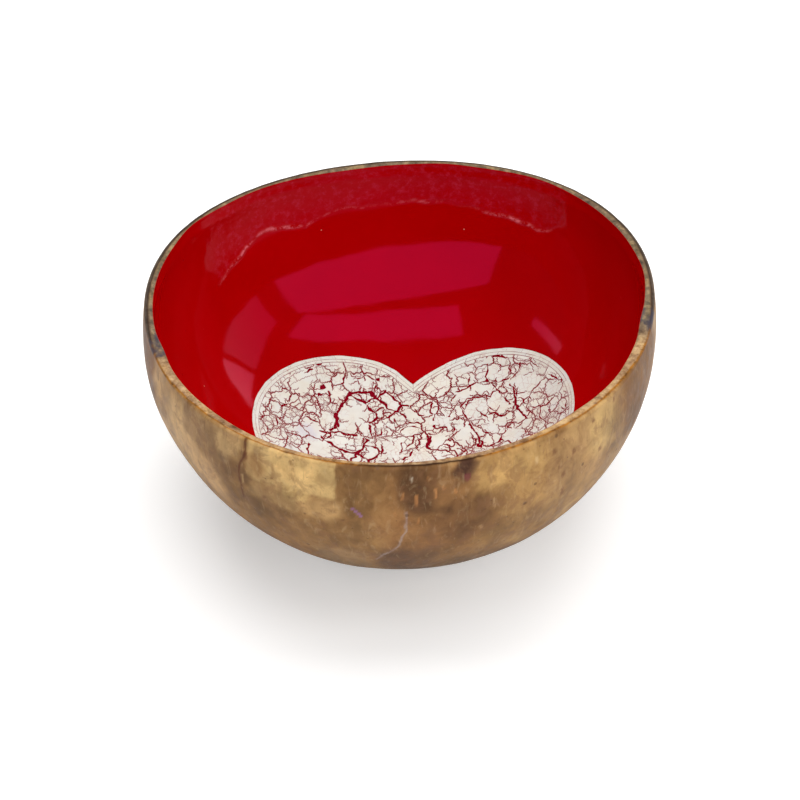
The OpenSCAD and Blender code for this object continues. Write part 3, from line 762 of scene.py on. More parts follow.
# Main cracks: greatest width, then places in the heart
MAIN_CRACKS = (
    (0.9, (-21.3, 26.6), (-16.3, 27.7), (-14.1, 27.3), (-13.1, 26.2), (-11.6, 25.2), (-10.6, 24.9),
     (-9.5, 23.2)),
    (0.55, (-20.9, 25.6), (-19.6, 25.3), (-17.7, 24.0), (-15.9, 23.6), (-14.9, 24.1), (-14.0, 25.6),
     (-13.2, 26.3)),
    (0.6, (-16.0, 23.0), (-14.5, 21.5), (-13.2, 21.0), (-12.6, 19.9), (-12.4, 18.8), (-13.1, 17.9),
     (-14.9, 16.5)),
    (0.3, (-13.2, 21.2), (-11.6, 22.2), (-10.3, 22.4)),
    (0.4, (-12.8, 26.2), (-11.6, 27.2), (-9.9, 27.9), (-9.4, 29.4)),
    (0.3, (-13.8, 27.1), (-13.1, 28.1), (-13.4, 29.7), (-13.1, 30.9), (-14.1, 32.0)),
    (0.65, (-8.8, 28.3), (-7.5, 27.0), (-5.8, 25.8), (-4.7, 24.3), (-4.5, 23.3), (-5.2, 22.0), (-5.9, 21.3)),
    (0.3, (-5.7, 21.3), (-7.4, 21.3), (-8.6, 22.0), (-9.4, 23.2)),
    (0.4, (-4.6, 23.4), (-2.5, 23.5), (-1.8, 22.9)),
    (0.35, (-5.9, 21.2), (-4.9, 20.6), (-3.3, 19.1)),
    (0.35, (-6.6, 21.3), (-8.3, 19.5), (-9.5, 19.1), (-10.6, 18.4), (-12.4, 18.7)),
    (0.28, (-7.2, 19.1), (-6.6, 17.4), (-7.2, 15.6)),
    (0.75, (-21.3, 26.2), (-22.0, 24.5), (-22.8, 23.2), (-23.5, 21.6), (-24.2, 19.6), (-24.8, 17.0),
     (-24.4, 15.4), (-24.2, 13.8), (-24.6, 12.4), (-25.9, 11.2)),
    (0.45, (-24.0, 15.2), (-23.8, 14.2), (-23.3, 13.0)),
    (0.5, (-25.5, 10.6), (-23.8, 10.9), (-22.0, 10.6), (-19.9, 10.4), (-17.7, 10.6)),
    (0.3, (-28.8, 9.9), (-27.4, 10.0), (-25.6, 9.3), (-25.5, 10.6)),
    (0.3, (-25.5, 10.5), (-25.4, 8.8), (-26.6, 7.0)),
    (0.5, (-28.4, 7.7), (-27.0, 6.6), (-25.2, 6.1), (-24.0, 4.9), (-21.6, 4.1), (-19.0, 3.6), (-17.2, 3.8)),
    (0.45, (-17.8, 13.2), (-16.6, 12.0), (-15.6, 10.2), (-14.8, 9.5), (-15.6, 8.1), (-15.6, 6.3),
     (-16.6, 4.9), (-17.2, 3.8), (-15.6, 2.0), (-13.6, 1.4)),
    (0.45, (-15.4, 7.5), (-13.4, 7.4), (-11.6, 7.2), (-11.3, 5.9), (-11.7, 3.4), (-13.6, 1.4), (-13.9, -1.6)),
    (0.35, (-10.6, 8.6), (-10.3, 6.3), (-10.8, 3.2)),
    (0.35, (-17.2, 3.8), (-17.5, 2.4), (-18.6, 0.6), (-18.2, -1.8)),
    (0.5, (-30.9, 3.6), (-31.5, 2.0), (-31.6, 0.0), (-30.8, -2.4)),
    (0.5, (-33.2, 13.8), (-32.3, 14.0), (-31.6, 13.1)),
    (0.3, (-32.4, 14.2), (-32.2, 16.0)),
    (0.5, (-31.0, 13.5), (-29.0, 13.2)),
    (0.3, (-39.9, 21.6), (-39.0, 19.9), (-38.8, 18.4), (-39.7, 16.3), (-41.3, 14.5), (-40.6, 11.6)),
    (0.25, (-41.3, 18.4), (-39.2, 17.6)),
    (0.22, (-42.4, 15.6), (-41.3, 14.5)),
    (0.22, (-42.7, 10.9), (-42.5, 9.1), (-41.8, 7.0)),
    (0.55, (-32.3, 36.4), (-31.0, 35.1), (-32.4, 34.5), (-34.9, 33.4), (-38.1, 32.0)),
    (0.25, (-32.0, 36.0), (-34.6, 35.3)),
    (0.35, (-36.6, 29.4), (-35.6, 30.8), (-33.4, 32.2)),
    (0.3, (-31.5, 29.5), (-30.9, 28.0)),
    (0.3, (-24.0, 34.0), (-23.6, 32.0), (-23.8, 28.8)),
    (0.3, (-28.2, 25.6), (-27.4, 24.2), (-27.0, 21.6), (-25.4, 21.4)),
    (0.22, (-20.9, 31.3), (-19.1, 32.0), (-16.6, 33.4), (-14.1, 32.7), (-12.7, 32.3)),
    (0.3, (-2.8, 28.8), (-1.6, 29.4)),
    (0.26, (-0.9, 22.0), (0.0, 20.9), (0.3, 19.5), (1.9, 18.8)),
    (0.26, (-3.4, 17.6), (-2.0, 17.2), (0.4, 16.4)),
    (0.28, (-9.9, 15.6), (-7.4, 13.8), (-4.9, 12.4), (-3.4, 11.5), (-0.9, 11.4), (-1.5, 8.8), (-3.1, 7.0)),
    (0.24, (-4.1, 12.0), (-5.2, 13.2), (-4.5, 14.9), (-2.4, 15.6), (-0.2, 14.9)),
    (0.28, (-10.9, 15.6), (-10.9, 12.7), (-12.7, 11.3)),
    (0.32, (-14.6, 15.8), (-14.0, 13.8), (-13.6, 11.4)),
    (0.32, (-4.7, 9.1), (-4.5, 7.0), (-5.3, 4.2)),
    (0.45, (-1.5, 6.3), (-2.0, 3.8), (-4.4, 2.7)),
    (0.5, (15.9, 38.0), (16.4, 37.2), (19.8, 36.9)),
    (0.45, (21.4, 36.8), (24.6, 36.5), (26.3, 35.6)),
    (0.42, (26.4, 35.0), (26.6, 32.7), (26.4, 29.6)),
    (0.5, (30.0, 32.6), (29.3, 30.6), (28.2, 29.5), (26.6, 28.2)),
    (0.4, (20.0, 34.3), (19.6, 32.4), (19.3, 30.2), (19.5, 28.8), (20.7, 27.4), (22.0, 26.2), (22.9, 23.8),
     (24.4, 23.3)),
    (0.45, (20.4, 29.1), (22.9, 27.5), (25.0, 28.3), (26.7, 29.0)),
    (0.42, (10.7, 26.7), (12.9, 26.7), (15.0, 28.4), (16.1, 28.8), (17.9, 28.3), (19.3, 28.8)),
    (0.28, (14.3, 32.4), (14.8, 31.3), (14.3, 29.5), (14.6, 26.6)),
    (0.24, (10.9, 29.5), (11.8, 27.7)),
    (0.28, (9.3, 23.4), (10.7, 25.6)),
    (0.4, (20.0, 23.0), (18.6, 24.2), (16.8, 23.8), (14.3, 23.4), (12.2, 21.6), (12.0, 19.1), (12.5, 17.0),
     (14.3, 15.6)),
    (0.35, (15.5, 19.9), (16.8, 18.4), (18.6, 16.6), (20.0, 14.5)),
    (0.25, (18.9, 22.2), (18.6, 20.6), (20.0, 19.1), (21.8, 18.1)),
    (0.5, (19.3, 16.7), (21.4, 17.3), (22.5, 16.3), (24.6, 15.8), (26.4, 16.8), (27.7, 17.4)),
    (0.4, (23.9, 26.4), (25.4, 24.5), (25.7, 22.4)),
    (0.4, (24.3, 23.5), (25.0, 21.6), (26.4, 19.3)),
    (0.55, (26.1, 26.7), (27.3, 24.9), (27.9, 20.9), (27.9, 19.1), (28.6, 17.7), (30.4, 15.2), (32.1, 12.7)),
    (0.5, (28.6, 25.0), (28.6, 21.9)),
    (0.32, (28.6, 21.2), (30.4, 20.6), (30.7, 19.1), (29.3, 17.7)),
    (0.38, (30.7, 20.2), (32.9, 20.6), (33.6, 19.1), (32.7, 18.1), (30.6, 18.6)),
    (0.38, (32.7, 18.1), (33.6, 16.6), (34.8, 15.8), (37.5, 15.4), (39.6, 15.6), (40.4, 17.0), (42.4, 18.3)),
    (0.28, (35.0, 19.1), (36.4, 17.4), (37.1, 14.9), (37.1, 11.6), (38.9, 9.5)),
    (0.32, (33.2, 20.9), (34.3, 22.4), (36.1, 24.1), (38.2, 25.2)),
    (0.38, (39.6, 26.6), (41.1, 25.6), (42.9, 23.4)),
    (0.38, (44.3, 23.5), (44.5, 21.6), (43.1, 21.5)),
    (0.26, (31.1, 28.1), (33.6, 28.8)),
    (0.22, (27.5, 35.2), (30.0, 33.8), (32.1, 33.1), (34.3, 31.6), (37.1, 29.5)),
    (0.32, (46.4, 15.2), (47.0, 11.6), (47.1, 9.9)),
    (0.4, (44.6, 12.4), (45.7, 10.4)),
    (0.42, (31.4, 12.4), (29.3, 11.3), (27.1, 12.7), (25.0, 12.4), (24.6, 10.9), (25.7, 9.9), (24.3, 8.8)),
    (0.65, (24.4, 9.0), (24.3, 7.0), (22.1, 5.6), (20.0, 5.6)),
    (0.45, (24.6, 7.0), (26.0, 5.8), (27.9, 4.4)),
    (0.32, (30.4, 9.9), (31.8, 8.4), (32.9, 5.4)),
    (0.65, (13.9, 14.6), (15.4, 11.6), (16.8, 9.5), (17.5, 8.1), (16.8, 6.6), (19.3, 4.0)),
    (0.38, (17.1, 13.4), (17.9, 11.6), (20.0, 10.6), (22.1, 9.9), (24.3, 9.1)),
    (0.32, (16.1, 13.4), (17.1, 13.8), (20.0, 14.1)),
    (0.45, (17.5, 8.4), (18.7, 7.7), (17.9, 5.9)),
    (0.38, (3.6, 15.6), (4.3, 13.8), (7.5, 14.1), (7.9, 12.4)),
    (0.32, (6.8, 10.4), (8.2, 10.6), (9.6, 12.4), (9.6, 14.9)),
    (0.32, (8.2, 10.6), (9.8, 8.8), (10.0, 7.4), (7.9, 7.0)),
    (0.38, (1.4, 14.9), (2.5, 11.3), (2.5, 8.1), (2.7, 6.3), (5.4, 5.9), (7.1, 5.4), (9.3, 4.5), (10.4, 3.4)),
    (0.28, (3.3, 11.3), (3.1, 7.7)),
    (0.32, (3.6, 25.9), (4.6, 24.5), (3.2, 19.9), (4.3, 19.1), (4.3, 17.0)),
    (0.35, (10.7, 6.3), (12.4, 5.2), (14.3, 3.9)),
    (0.45, (13.6, 5.9), (16.1, 4.0)),
    # Small holes where a grain of shell fell out
    (1.3, (-30.1, 26.3), (-29.3, 26.8)),
    (0.9, (-30.6, 23.0), (-30.2, 23.6)),
    (0.8, (-19.2, 30.3), (-18.9, 30.7)),
    (0.6, (-12.7, 32.3), (-11.6, 32.1)),
    (0.5, (7.6, 18.0), (8.4, 17.8)),
    # Towards the point
    (0.6, (-8.5, -3.0), (-6.0, -5.5), (-4.8, -9.0), (-6.4, -12.5), (-5.2, -15.5)),
    (0.45, (-4.8, -9.0), (-1.0, -9.8), (2.0, -8.2), (4.6, -9.4), (8.0, -8.8)),
    (0.55, (8.0, -8.8), (10.5, -11.5), (10.0, -15.0), (12.5, -18.0), (11.4, -21.5)),
    (0.4, (10.0, -15.0), (6.0, -16.4), (2.4, -15.6), (-1.2, -17.4), (-5.2, -15.5)),
    (0.5, (-18.6, -6.0), (-16.0, -9.5), (-17.0, -13.0), (-14.0, -16.5), (-14.6, -20.0)),
    (0.4, (-14.0, -16.5), (-9.6, -18.0), (-6.8, -21.6), (-8.2, -25.0)),
    (0.5, (20.6, -2.6), (18.6, -6.4), (21.0, -10.0), (19.8, -13.6), (22.0, -16.0)),
    (0.35, (21.0, -10.0), (25.0, -9.0), (28.4, -11.0)),
    (0.45, (2.4, -15.6), (3.6, -20.0), (1.4, -24.0), (3.0, -28.0), (1.6, -32.0)),
    (0.35, (1.4, -24.0), (-2.6, -26.6), (-3.0, -30.6)),
    (0.4, (11.4, -21.5), (8.0, -24.6), (8.6, -28.8), (6.2, -32.0)),
    (0.4, (-28.0, -6.4), (-25.6, -9.6), (-26.0, -13.8)),
)
# Where the shell stays whole, and where it is broken small: place in the heart, reach
CALM_SPOTS = (
    (-20, 19, 3.6), (-21, 13.2, 2.4), (-37, 27, 3.4), (-12.6, 4.6, 2.3), (-6.9, 24.2, 2.0), (-3, 20.8, 1.8),
    (-31, 10, 3.2), (-29, 36, 2.2), (-28.5, 2.8, 3.2), (-22, 7.2, 2.6), (-16.8, 30.3, 1.8), (-25.4, 25, 1.8),
    (-27.6, 15.2, 1.9), (-34, 36, 3.0), (-7, 6, 2.4), (-2.5, 13.4, 1.8), (1, 3.5, 3.0), (14.8, 19, 2.3),
    (18, 20.5, 2.2), (22.8, 20, 2.9), (28, 7.4, 3.0), (22.4, 31.4, 2.6), (17, 26.7, 2.2), (7, 16.4, 2.1),
    (5.2, 10, 2.2), (13, 11.6, 2.3), (21.6, 7.6, 2.0), (34.5, 25.5, 3.6), (30, 14.6, 2.0), (20.6, 12, 2.2),
    (41.4, 21.8, 2.4), (12.4, 25.2, 1.8), (30.2, 27.2, 2.0), (23, 13.8, 1.8), (-1, 27, 2.0), (0.5, -13, 3.2),
    (15, -6, 3.2), (-12, -12, 2.8), (6, -20, 2.4), (-22, -14, 2.8), (13, -26, 2.4), (-6, -30, 2.4),
    (24, -5, 2.2),
)
FINE_SPOTS = (
    (-42, 8, 6), (-37, 13, 4), (-28, 18, 4), (-26, 22.5, 3), (8, 22.5, 5), (2, 26, 3), (37, 11, 4),
    (41, 9, 3), (15, 4, 3.4), (-12, 11, 3), (26.4, 23.4, 2.6), (-8, 33, 3), (38, 20, 2.6), (-36, 3, 4),
    (33, 8, 3), (-22, -4, 5), (30, -14, 5), (-2, -36, 5), (16, -14, 4), (-14, -27, 4),
)


def on_grid(grid, step):
    """The grid moved so that each place holds its neighbour at the given step."""
    return np.roll(grid, (-step[0], -step[1]), axis=(0, 1))


def near_spots(p, places):
    """How near a point is to the nearest of some places, from 0 to 1: it falls off with the fourth power."""
    total = np.zeros(p.shape[:-1])
    for x, y, reach in places:
        off = ((p - (x, y)) ** 2).sum(-1) / reach ** 2
        total = np.maximum(total, np.exp(-off ** 2))
    return total


def cells(p, size, seed):
    """Number and middle of the nearest of many scattered places, one in each square of the given size."""
    scatter = np.random.default_rng(seed).uniform(0.08, 0.92, (4096, 2))
    q = p / size
    square = np.floor(q).astype(np.int64)
    best = np.full(p.shape[:-1], np.inf)
    number = np.zeros(p.shape[:-1], np.int64)
    middle = np.zeros(p.shape)
    for step in product((-1, 0, 1), repeat=2):
        at = square + step
        place = at + scatter[scrambled(at)]
        far = ((q - place) ** 2).sum(-1)
        nearer = far < best
        best = np.where(nearer, far, best)
        number = np.where(nearer, at[..., 0] * 1009 + at[..., 1], number)
        middle = pick(nearer, place * size, middle)
    return number, middle


def winding(places):
    """A main crack in short steps, thrown off the straight line, and each step's share of its length."""
    places = np.array(places)
    along = np.append(0, np.cumsum(length(np.diff(places, axis=0))))
    s = np.linspace(0, along[-1], max(3, int(along[-1] / CRACK_STEP) + 1))
    line = np.stack([np.interp(s, along, places[:, k]) for k in (0, 1)], -1)
    return warped(line, 81, ((1.9, 0.36), (0.7, 0.34))), s / along[-1]


def grains():
    """The grid of grains: their middles, which are thrown a little off even rows, and their corners."""
    rows = int(np.ceil(HEART_DROP / ROW_RISE)) + 3
    cols = int(np.ceil(HEART_W / 2 / GRAIN)) + rows // 2 + 3
    i, j = np.meshgrid(np.arange(-rows, rows + 1), np.arange(-cols, cols + 1), indexing="ij")
    middles = np.stack([(j + i / 2) * GRAIN, i * ROW_RISE], -1)
    middles += np.random.default_rng(CRACKLE_SEED).uniform(-0.24, 0.24, middles.shape) * GRAIN
    corners = np.stack([sum(on_grid(middles, step) for step in members) / 3 for members in TRIANGLES])
    return middles, corners, (rows, cols)


def room_in_field(p):
    """How far a point lies inside the field, on the line from the heart's middle."""
    return heart_reach(bearing(p), FIELD_INSET) - length(p)


def half_width(width, places, line, share):
    """Half the width of a main crack along its line: it thins out towards both ends, but for the holes, and
    smooth noise of two sizes makes it wider and narrower."""
    hole = width > 0.55 and len(places) == 2
    swelling = np.ones_like(share) if hole else 0.5 + 0.5 * np.sin(np.pi * (0.08 + 0.84 * share))
    finer = 1 - 0.35 * smooth_step(line[:, 0], 0, 10)
    ragged = np.clip(1 + 0.85 * noise(line, 1.2, 87) + 0.45 * noise(line, 0.5, 88), 0.2, 2)
    return 0.05 + 1.05 * (width / 2 * swelling) * finer * ragged


def grid_box(p, q, origin):
    """Rows and columns of the grid of grains that hold all that lies near the line from p to q."""
    low, high = np.minimum(p, q) - CRACK_REACH, np.maximum(p, q) + CRACK_REACH
    i0, i1 = (int(np.floor(y / ROW_RISE)) + origin[0] for y in (low[1], high[1] + 0.5))
    j0 = int(np.floor(low[0] / GRAIN - (i1 - origin[0]) / 2)) + origin[1]
    j1 = int(np.ceil(high[0] / GRAIN - (i0 - origin[0]) / 2)) + origin[1]
    return slice(i0, i1 + 1), slice(j0, j1 + 1)


def main_cracks(middles, corners, origin):
    """What the main cracks do: the edges that they cross, the grains that they swallow, and for each corner
    the nearest place on a crack with its side step and half width."""
    crossed = np.zeros((3,) + middles.shape[:2], bool)
    swallowed = np.zeros(middles.shape[:2], bool)
    nearest = np.full(corners.shape[:3], CRACK_REACH)
    after = [on_grid(middles, AROUND[way]) for way in range(3)]
    foot = np.zeros(corners.shape)
    sideways = np.zeros(corners.shape)
    for width, *places in MAIN_CRACKS:
        line, share = winding(places)
        half = half_width(width, places, line, share)
        for p, q, r, r_after in zip(line[:-1], line[1:], half[:-1], half[1:]):
            box = grid_box(p, q, origin)
            left = unit(np.array([p[1] - q[1], q[0] - p[0]]))
            t, _, far = beside(middles[box], p, q)
            reach = r + (r_after - r) * t
            swallowed[box] |= (far < reach) & (reach > WIDE_CRACK)
            for kind in (0, 1):
                at = (kind,) + box
                t, place, far = beside(corners[at], p, q)
                nearer = far < nearest[at]
                nearest[at] = np.where(nearer, far, nearest[at])
                # A share of the corner's own place keeps the crack's side jagged
                foot[at] = pick(nearer, 0.75 * place + 0.25 * corners[at], foot[at])
                sideways[at] = pick(nearer, (r + (r_after - r) * t)[..., None] * left, sideways[at])
            for way in range(3):
                a, b = middles[box], after[way][box]
                across = np.stack([(a - b)[..., 1], (b - a)[..., 0]], -1)
                parts_line = ((a - p) @ left) * ((b - p) @ left) < 0
                parts_grains = ((p - a) * across).sum(-1) * ((q - a) * across).sum(-1) <= 0
                crossed[(way,) + box] |= parts_line & parts_grains
    return crossed, swallowed, nearest, foot, sideways


def bricks(p):
    """Numbers of the long pieces that follow the top of each lobe, and -1 where the shell broke unordered."""
    side = np.sign(p[..., 0])
    off = np.stack([np.abs(p[..., 0]), p[..., 1]], -1) - LOBE_AT
    depth = LOBE_R - FIELD_INSET - length(off) + 0.25 * noise(p, 6, 91)
    turn = bearing(off)
    lane = np.digitize(depth, BRICK_LANES)
    piece = np.floor(turn / (9 + 3 * lane) + 0.5 * lane + 0.2 * noise(p, 5, 92) + 40 * (side > 0))
    laid_so = (lane < 2) & (turn > BRICK_ARC[0]) & (turn < BRICK_ARC[1]) & (off[..., 1] > 0)
    return np.where(laid_so, lane * 1000 + piece, -1)


def crackle(middles, crossed, present):
    """Width of the crack on each of a grain's three forward edges, or -1 where the shell is whole; and for
    each grain the number of its plate and the part of the heart."""
    calm = near_spots(middles, CALM_SPOTS)
    fine = near_spots(middles, FINE_SPOTS)
    plate, plate_middle = cells(warped(middles, 101, BENDS), PLATE_SIZE, 111)
    piece = cells(warped(middles, 103, BENDS), PIECE_SIZE, 112)[0]
    crumb = cells(warped(middles, 107, BENDS), CRUMB_SIZE, 113)[0]
    brick = bricks(middles)
    order = brick >= 0
    # Strength of each kind of crack: it opens where this is over zero, and is as wide as this says
    bold = 0.55 + 0.6 * noise(middles, 4.5, 125)
    strong = 0.8 * bold + 0.30 - 1.15 * calm + 0.5 * noise(middles, 1.6, 121)
    mild = 0.45 * bold + 0.06 + 0.9 * noise(middles, 1.9, 122) - 1.5 * calm + 0.4 * fine - 0.5 * order
    weak = (-0.46 + 0.5 * noise(middles, 5.5, 123) + 0.6 * noise(middles, 1.3, 126)
            - 2.4 * calm + 0.8 * fine - 2.0 * order)
    faint = 0.25 + 0.7 * noise(middles, 3.5, 124)
    kinds = ((plate, strong, *PLATE_CRACKS), (piece, mild, *PIECE_CRACKS), (crumb, weak, *CRUMB_CRACKS),
             (brick, faint, *BRICK_CRACKS))
    part = np.where(plate_middle[..., 1] < -HEART_RISE * POINT_SHARE, 2, plate_middle[..., 0] > 0)
    widths = []
    for way in range(3):
        def after(grid):
            return on_grid(grid, AROUND[way])

        width = np.full(middles.shape[:2], -1.0)
        for number, strength, narrow, wide in kinds:
            level = (strength + after(strength)) / 2
            splits = (number != after(number)) & (level > 0)
            if number is brick:
                splits &= order | after(order)
            opening = narrow + (wide - narrow) * np.clip(level, 0, 1)
            width = np.maximum(width, np.where(splits, opening, -1))
        width = np.where((part != after(part)) & (width < 0), HAIRLINE, width)
        widths.append(np.where(crossed[way] | (present != after(present)), 0.0, width))
    return without_single_cracks(widths), plate, part


def corner_pairs(widths, kind):
    """The three edges that meet in a triangle's corner, by the slots of the grains on their two sides."""
    if kind == 0:
        return {(0, 1): widths[0], (0, 2): widths[1], (1, 2): on_grid(widths[2], (0, 1))}
    return {(0, 1): widths[1], (0, 2): widths[2], (1, 2): on_grid(widths[0], (1, -1))}


def without_single_cracks(widths):
    """Heals each crack that is only one edge long, as it would have no opening."""
    count = [sum((width >= 0).astype(int) for width in corner_pairs(widths, kind).values())
             for kind in (0, 1)]
    # The two triangles at the ends of an edge towards the east, north-east and north-west
    ends = (((0, (0, 0)), (1, (-1, 1))), ((0, (0, 0)), (1, (0, 0))), ((1, (0, 0)), (0, (0, -1))))
    healed = []
    for width, both in zip(widths, ends):
        lone = np.all([on_grid(count[kind], step) == 1 for kind, step in both], axis=0)
        healed.append(np.where(lone, -1.0, width))
    return healed


def joined_corners(widths, present, middles, corners, nearest, foot, sideways):
    """Splits each corner between its grains: grains with no crack between them share a point, the others move
    apart by half the crack's width.

    Returns, for both kinds of triangle and each slot, the slot that leads its group, the place of the edge,
    and the place of the top, a bevel further in."""
    lead = np.zeros(corners.shape[:3] + (3,), np.int64)
    edge = np.zeros(corners.shape[:3] + (3, 2))
    top = np.zeros_like(edge)
    for kind, members in enumerate(TRIANGLES):
        pair = corner_pairs(widths, kind)
        single = sum((width >= 0).astype(int) for width in pair.values()) <= 1
        joined = {slots: single | (width < 0) for slots, width in pair.items()}
        lead[kind, ..., 1] = np.where(joined[0, 1], 0, 1)
        lead[kind, ..., 2] = np.where(joined[0, 2], 0, np.where(joined[1, 2], 1, 2))
        at = [on_grid(middles, step) for step in members]
        open_step, bevel_step = np.zeros((2, 3) + middles.shape)
        for (m, n), width in pair.items():
            apart = unit(at[m] - at[n])
            for slot, sign in ((m, 1), (n, -1)):
                open_step[slot] += sign * apart * (np.maximum(width, 0) * (width >= 0) / 3)[..., None]
                bevel_step[slot] += sign * apart * ((width >= 0) * 2 * CHIP_BEVEL / 3)[..., None]
        # Along a main crack the corner goes to the crack's side on which its grain lies
        crack, aside, own = foot[kind], sideways[kind], corners[kind]
        pulled = nearest[kind] < length(aside) + 0.3
        touched = sum((width == 0.0).astype(int) for width in pair.values()) > 0
        sides = [np.sign(((at[s] - crack) * aside).sum(-1))[..., None] for s in range(3)]
        stay = [pick(touched & pulled, crack + side * aside, own) for side in sides]
        here = [on_grid(present, step) for step in members]
        for s in range(3):
            mates = [lead[kind, ..., t] == lead[kind, ..., s] for t in range(3)]
            weight = [mates[t] * here[t] for t in range(3)]
            count = np.maximum(sum(weight), 1)[..., None]
            base = sum(stay[t] * weight[t][..., None] for t in range(3)) / count
            edge[kind, ..., s, :] = base + sum(open_step[t] * mates[t][..., None] for t in range(3))
            top[kind, ..., s, :] = (edge[kind, ..., s, :]
                                    + sum(bevel_step[t] * mates[t][..., None] for t in range(3)))
    return lead, edge, top


WHITE = np.array([0.79, 0.845, 0.785])
CREAM = np.array([0.79, 0.80, 0.68])
PINK = np.array([0.62, 0.25, 0.24])
STAINED = np.array([0.30, 0.03, 0.04])
# A faint lavender smudge left on the heart
SMUDGE_AT, SMUDGE_REACH, SMUDGE = (-32.5, 8.5), 3.6, np.array([0.66, 0.68, 0.74])


def shell_tint(p, tone):
    """Colour of the eggshell: white with soft cream clouds, each plate a little lighter or darker, and a
    smudge."""
    cream = np.clip(0.45 + 0.5 * noise(p, 6, 73) + 0.4 * noise(p, 2.0, 74), 0, 1)[:, None] * 0.8
    smudge = np.exp(-(((p - SMUDGE_AT) / SMUDGE_REACH) ** 2).sum(1) ** 1.5) * (0.7 + 0.3 * noise(p, 1.5, 71))
    body = WHITE + (CREAM - WHITE) * cream
    return (body + (SMUDGE - body) * smudge[:, None]) * tone[:, None]


def make_crackled(name, node, chosen, lead, edge, top, widths, plate, look):
    """One part of the heart: the tops of its grains, walls down every crack, and a flat underside."""
    i, j = np.nonzero(chosen)
    corner = []
    for kind, (di, dj), slot in CORNERS:
        ii, jj = i + di, j + dj
        corner.append(((kind * lead.shape[1] + ii) * lead.shape[2] + jj) * 3 + lead[kind, ii, jj, slot])
    used, index = np.unique(np.stack(corner, -1), return_inverse=True)
    index = index.reshape(-1, 6)
    flat_edge = edge.reshape(-1, 2)[used]
    flat_top = top.reshape(-1, 2)[used]
    n = len(used)
    walls = []
    # The width of a backward edge is kept with the neighbour behind it
    for k in range(6):
        di, dj = (0, 0) if k < 3 else AROUND[k]
        open_here = widths[k % 3][i + di, j + dj] >= 0
        start, stop = index[open_here, k - 1], index[open_here, k]
        walls.append(np.stack([start, stop, n + stop, n + start], -1))
    # Points: top, edge and foot. The walls run from the foot to the edge, and the bevels on to the top
    walls = np.concatenate(walls)
    bevels = walls + np.array([n, n, -n, -n])
    sides = walls + np.array([2 * n, 2 * n, 0, 0])
    faces = (index.tolist() + (index[:, ::-1] + 2 * n).tolist() + bevels.tolist() + sides.tolist())
    points = np.concatenate([laid(CHIP_TOP, placed(flat_top)), laid(CHIP_EDGE, placed(flat_edge)),
                             laid(CHIP_LOW, placed(flat_edge))])
    piece = new_piece(name, points, faces, smooth=False)
    tone = np.ones(n)
    shade = 1 + 0.02 * np.random.default_rng(131).normal(0, 1, 4096)
    tone[index.ravel()] = shade[np.repeat(plate[i, j] & 4095, 6)]
    body = shell_tint(flat_top, tone)
    colour_points(piece, "tint", np.concatenate([body, body + (PINK - body) * 0.22, STAINED + 0 * body]))
    piece.data.materials.append(look)
    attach(piece, "root")
    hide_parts(node)


# Lanes of the plain border strip: how far in each starts and ends, and the mean length of its pieces
BORDER_LANES = ((0.02, 1.22, 11.0), (1.25, 2.29, 6.5))
# Mean distance of the border from the heart's middle, the turn between its points, and half the width of the
# hairlines across it
BORDER_AT = 42.0
BORDER_TURN = 0.7
BORDER_CRACKS = (0.02, 0.07)
# Lines along a piece, for each side: how far in from its wall, the lift, and the share of pink on it
BORDER_LINES = ((0.0, CHIP_LOW, 1.0), (0.0, CHIP_EDGE, 0.3), (CHIP_BEVEL, CHIP_TOP, 0.0))


def edge_at(a, insets):
    """Points of the heart's edge in directions a, each moved in by its own inset."""
    return np.array([heart_edge(direction, inset) for direction, inset in zip(a, insets)])


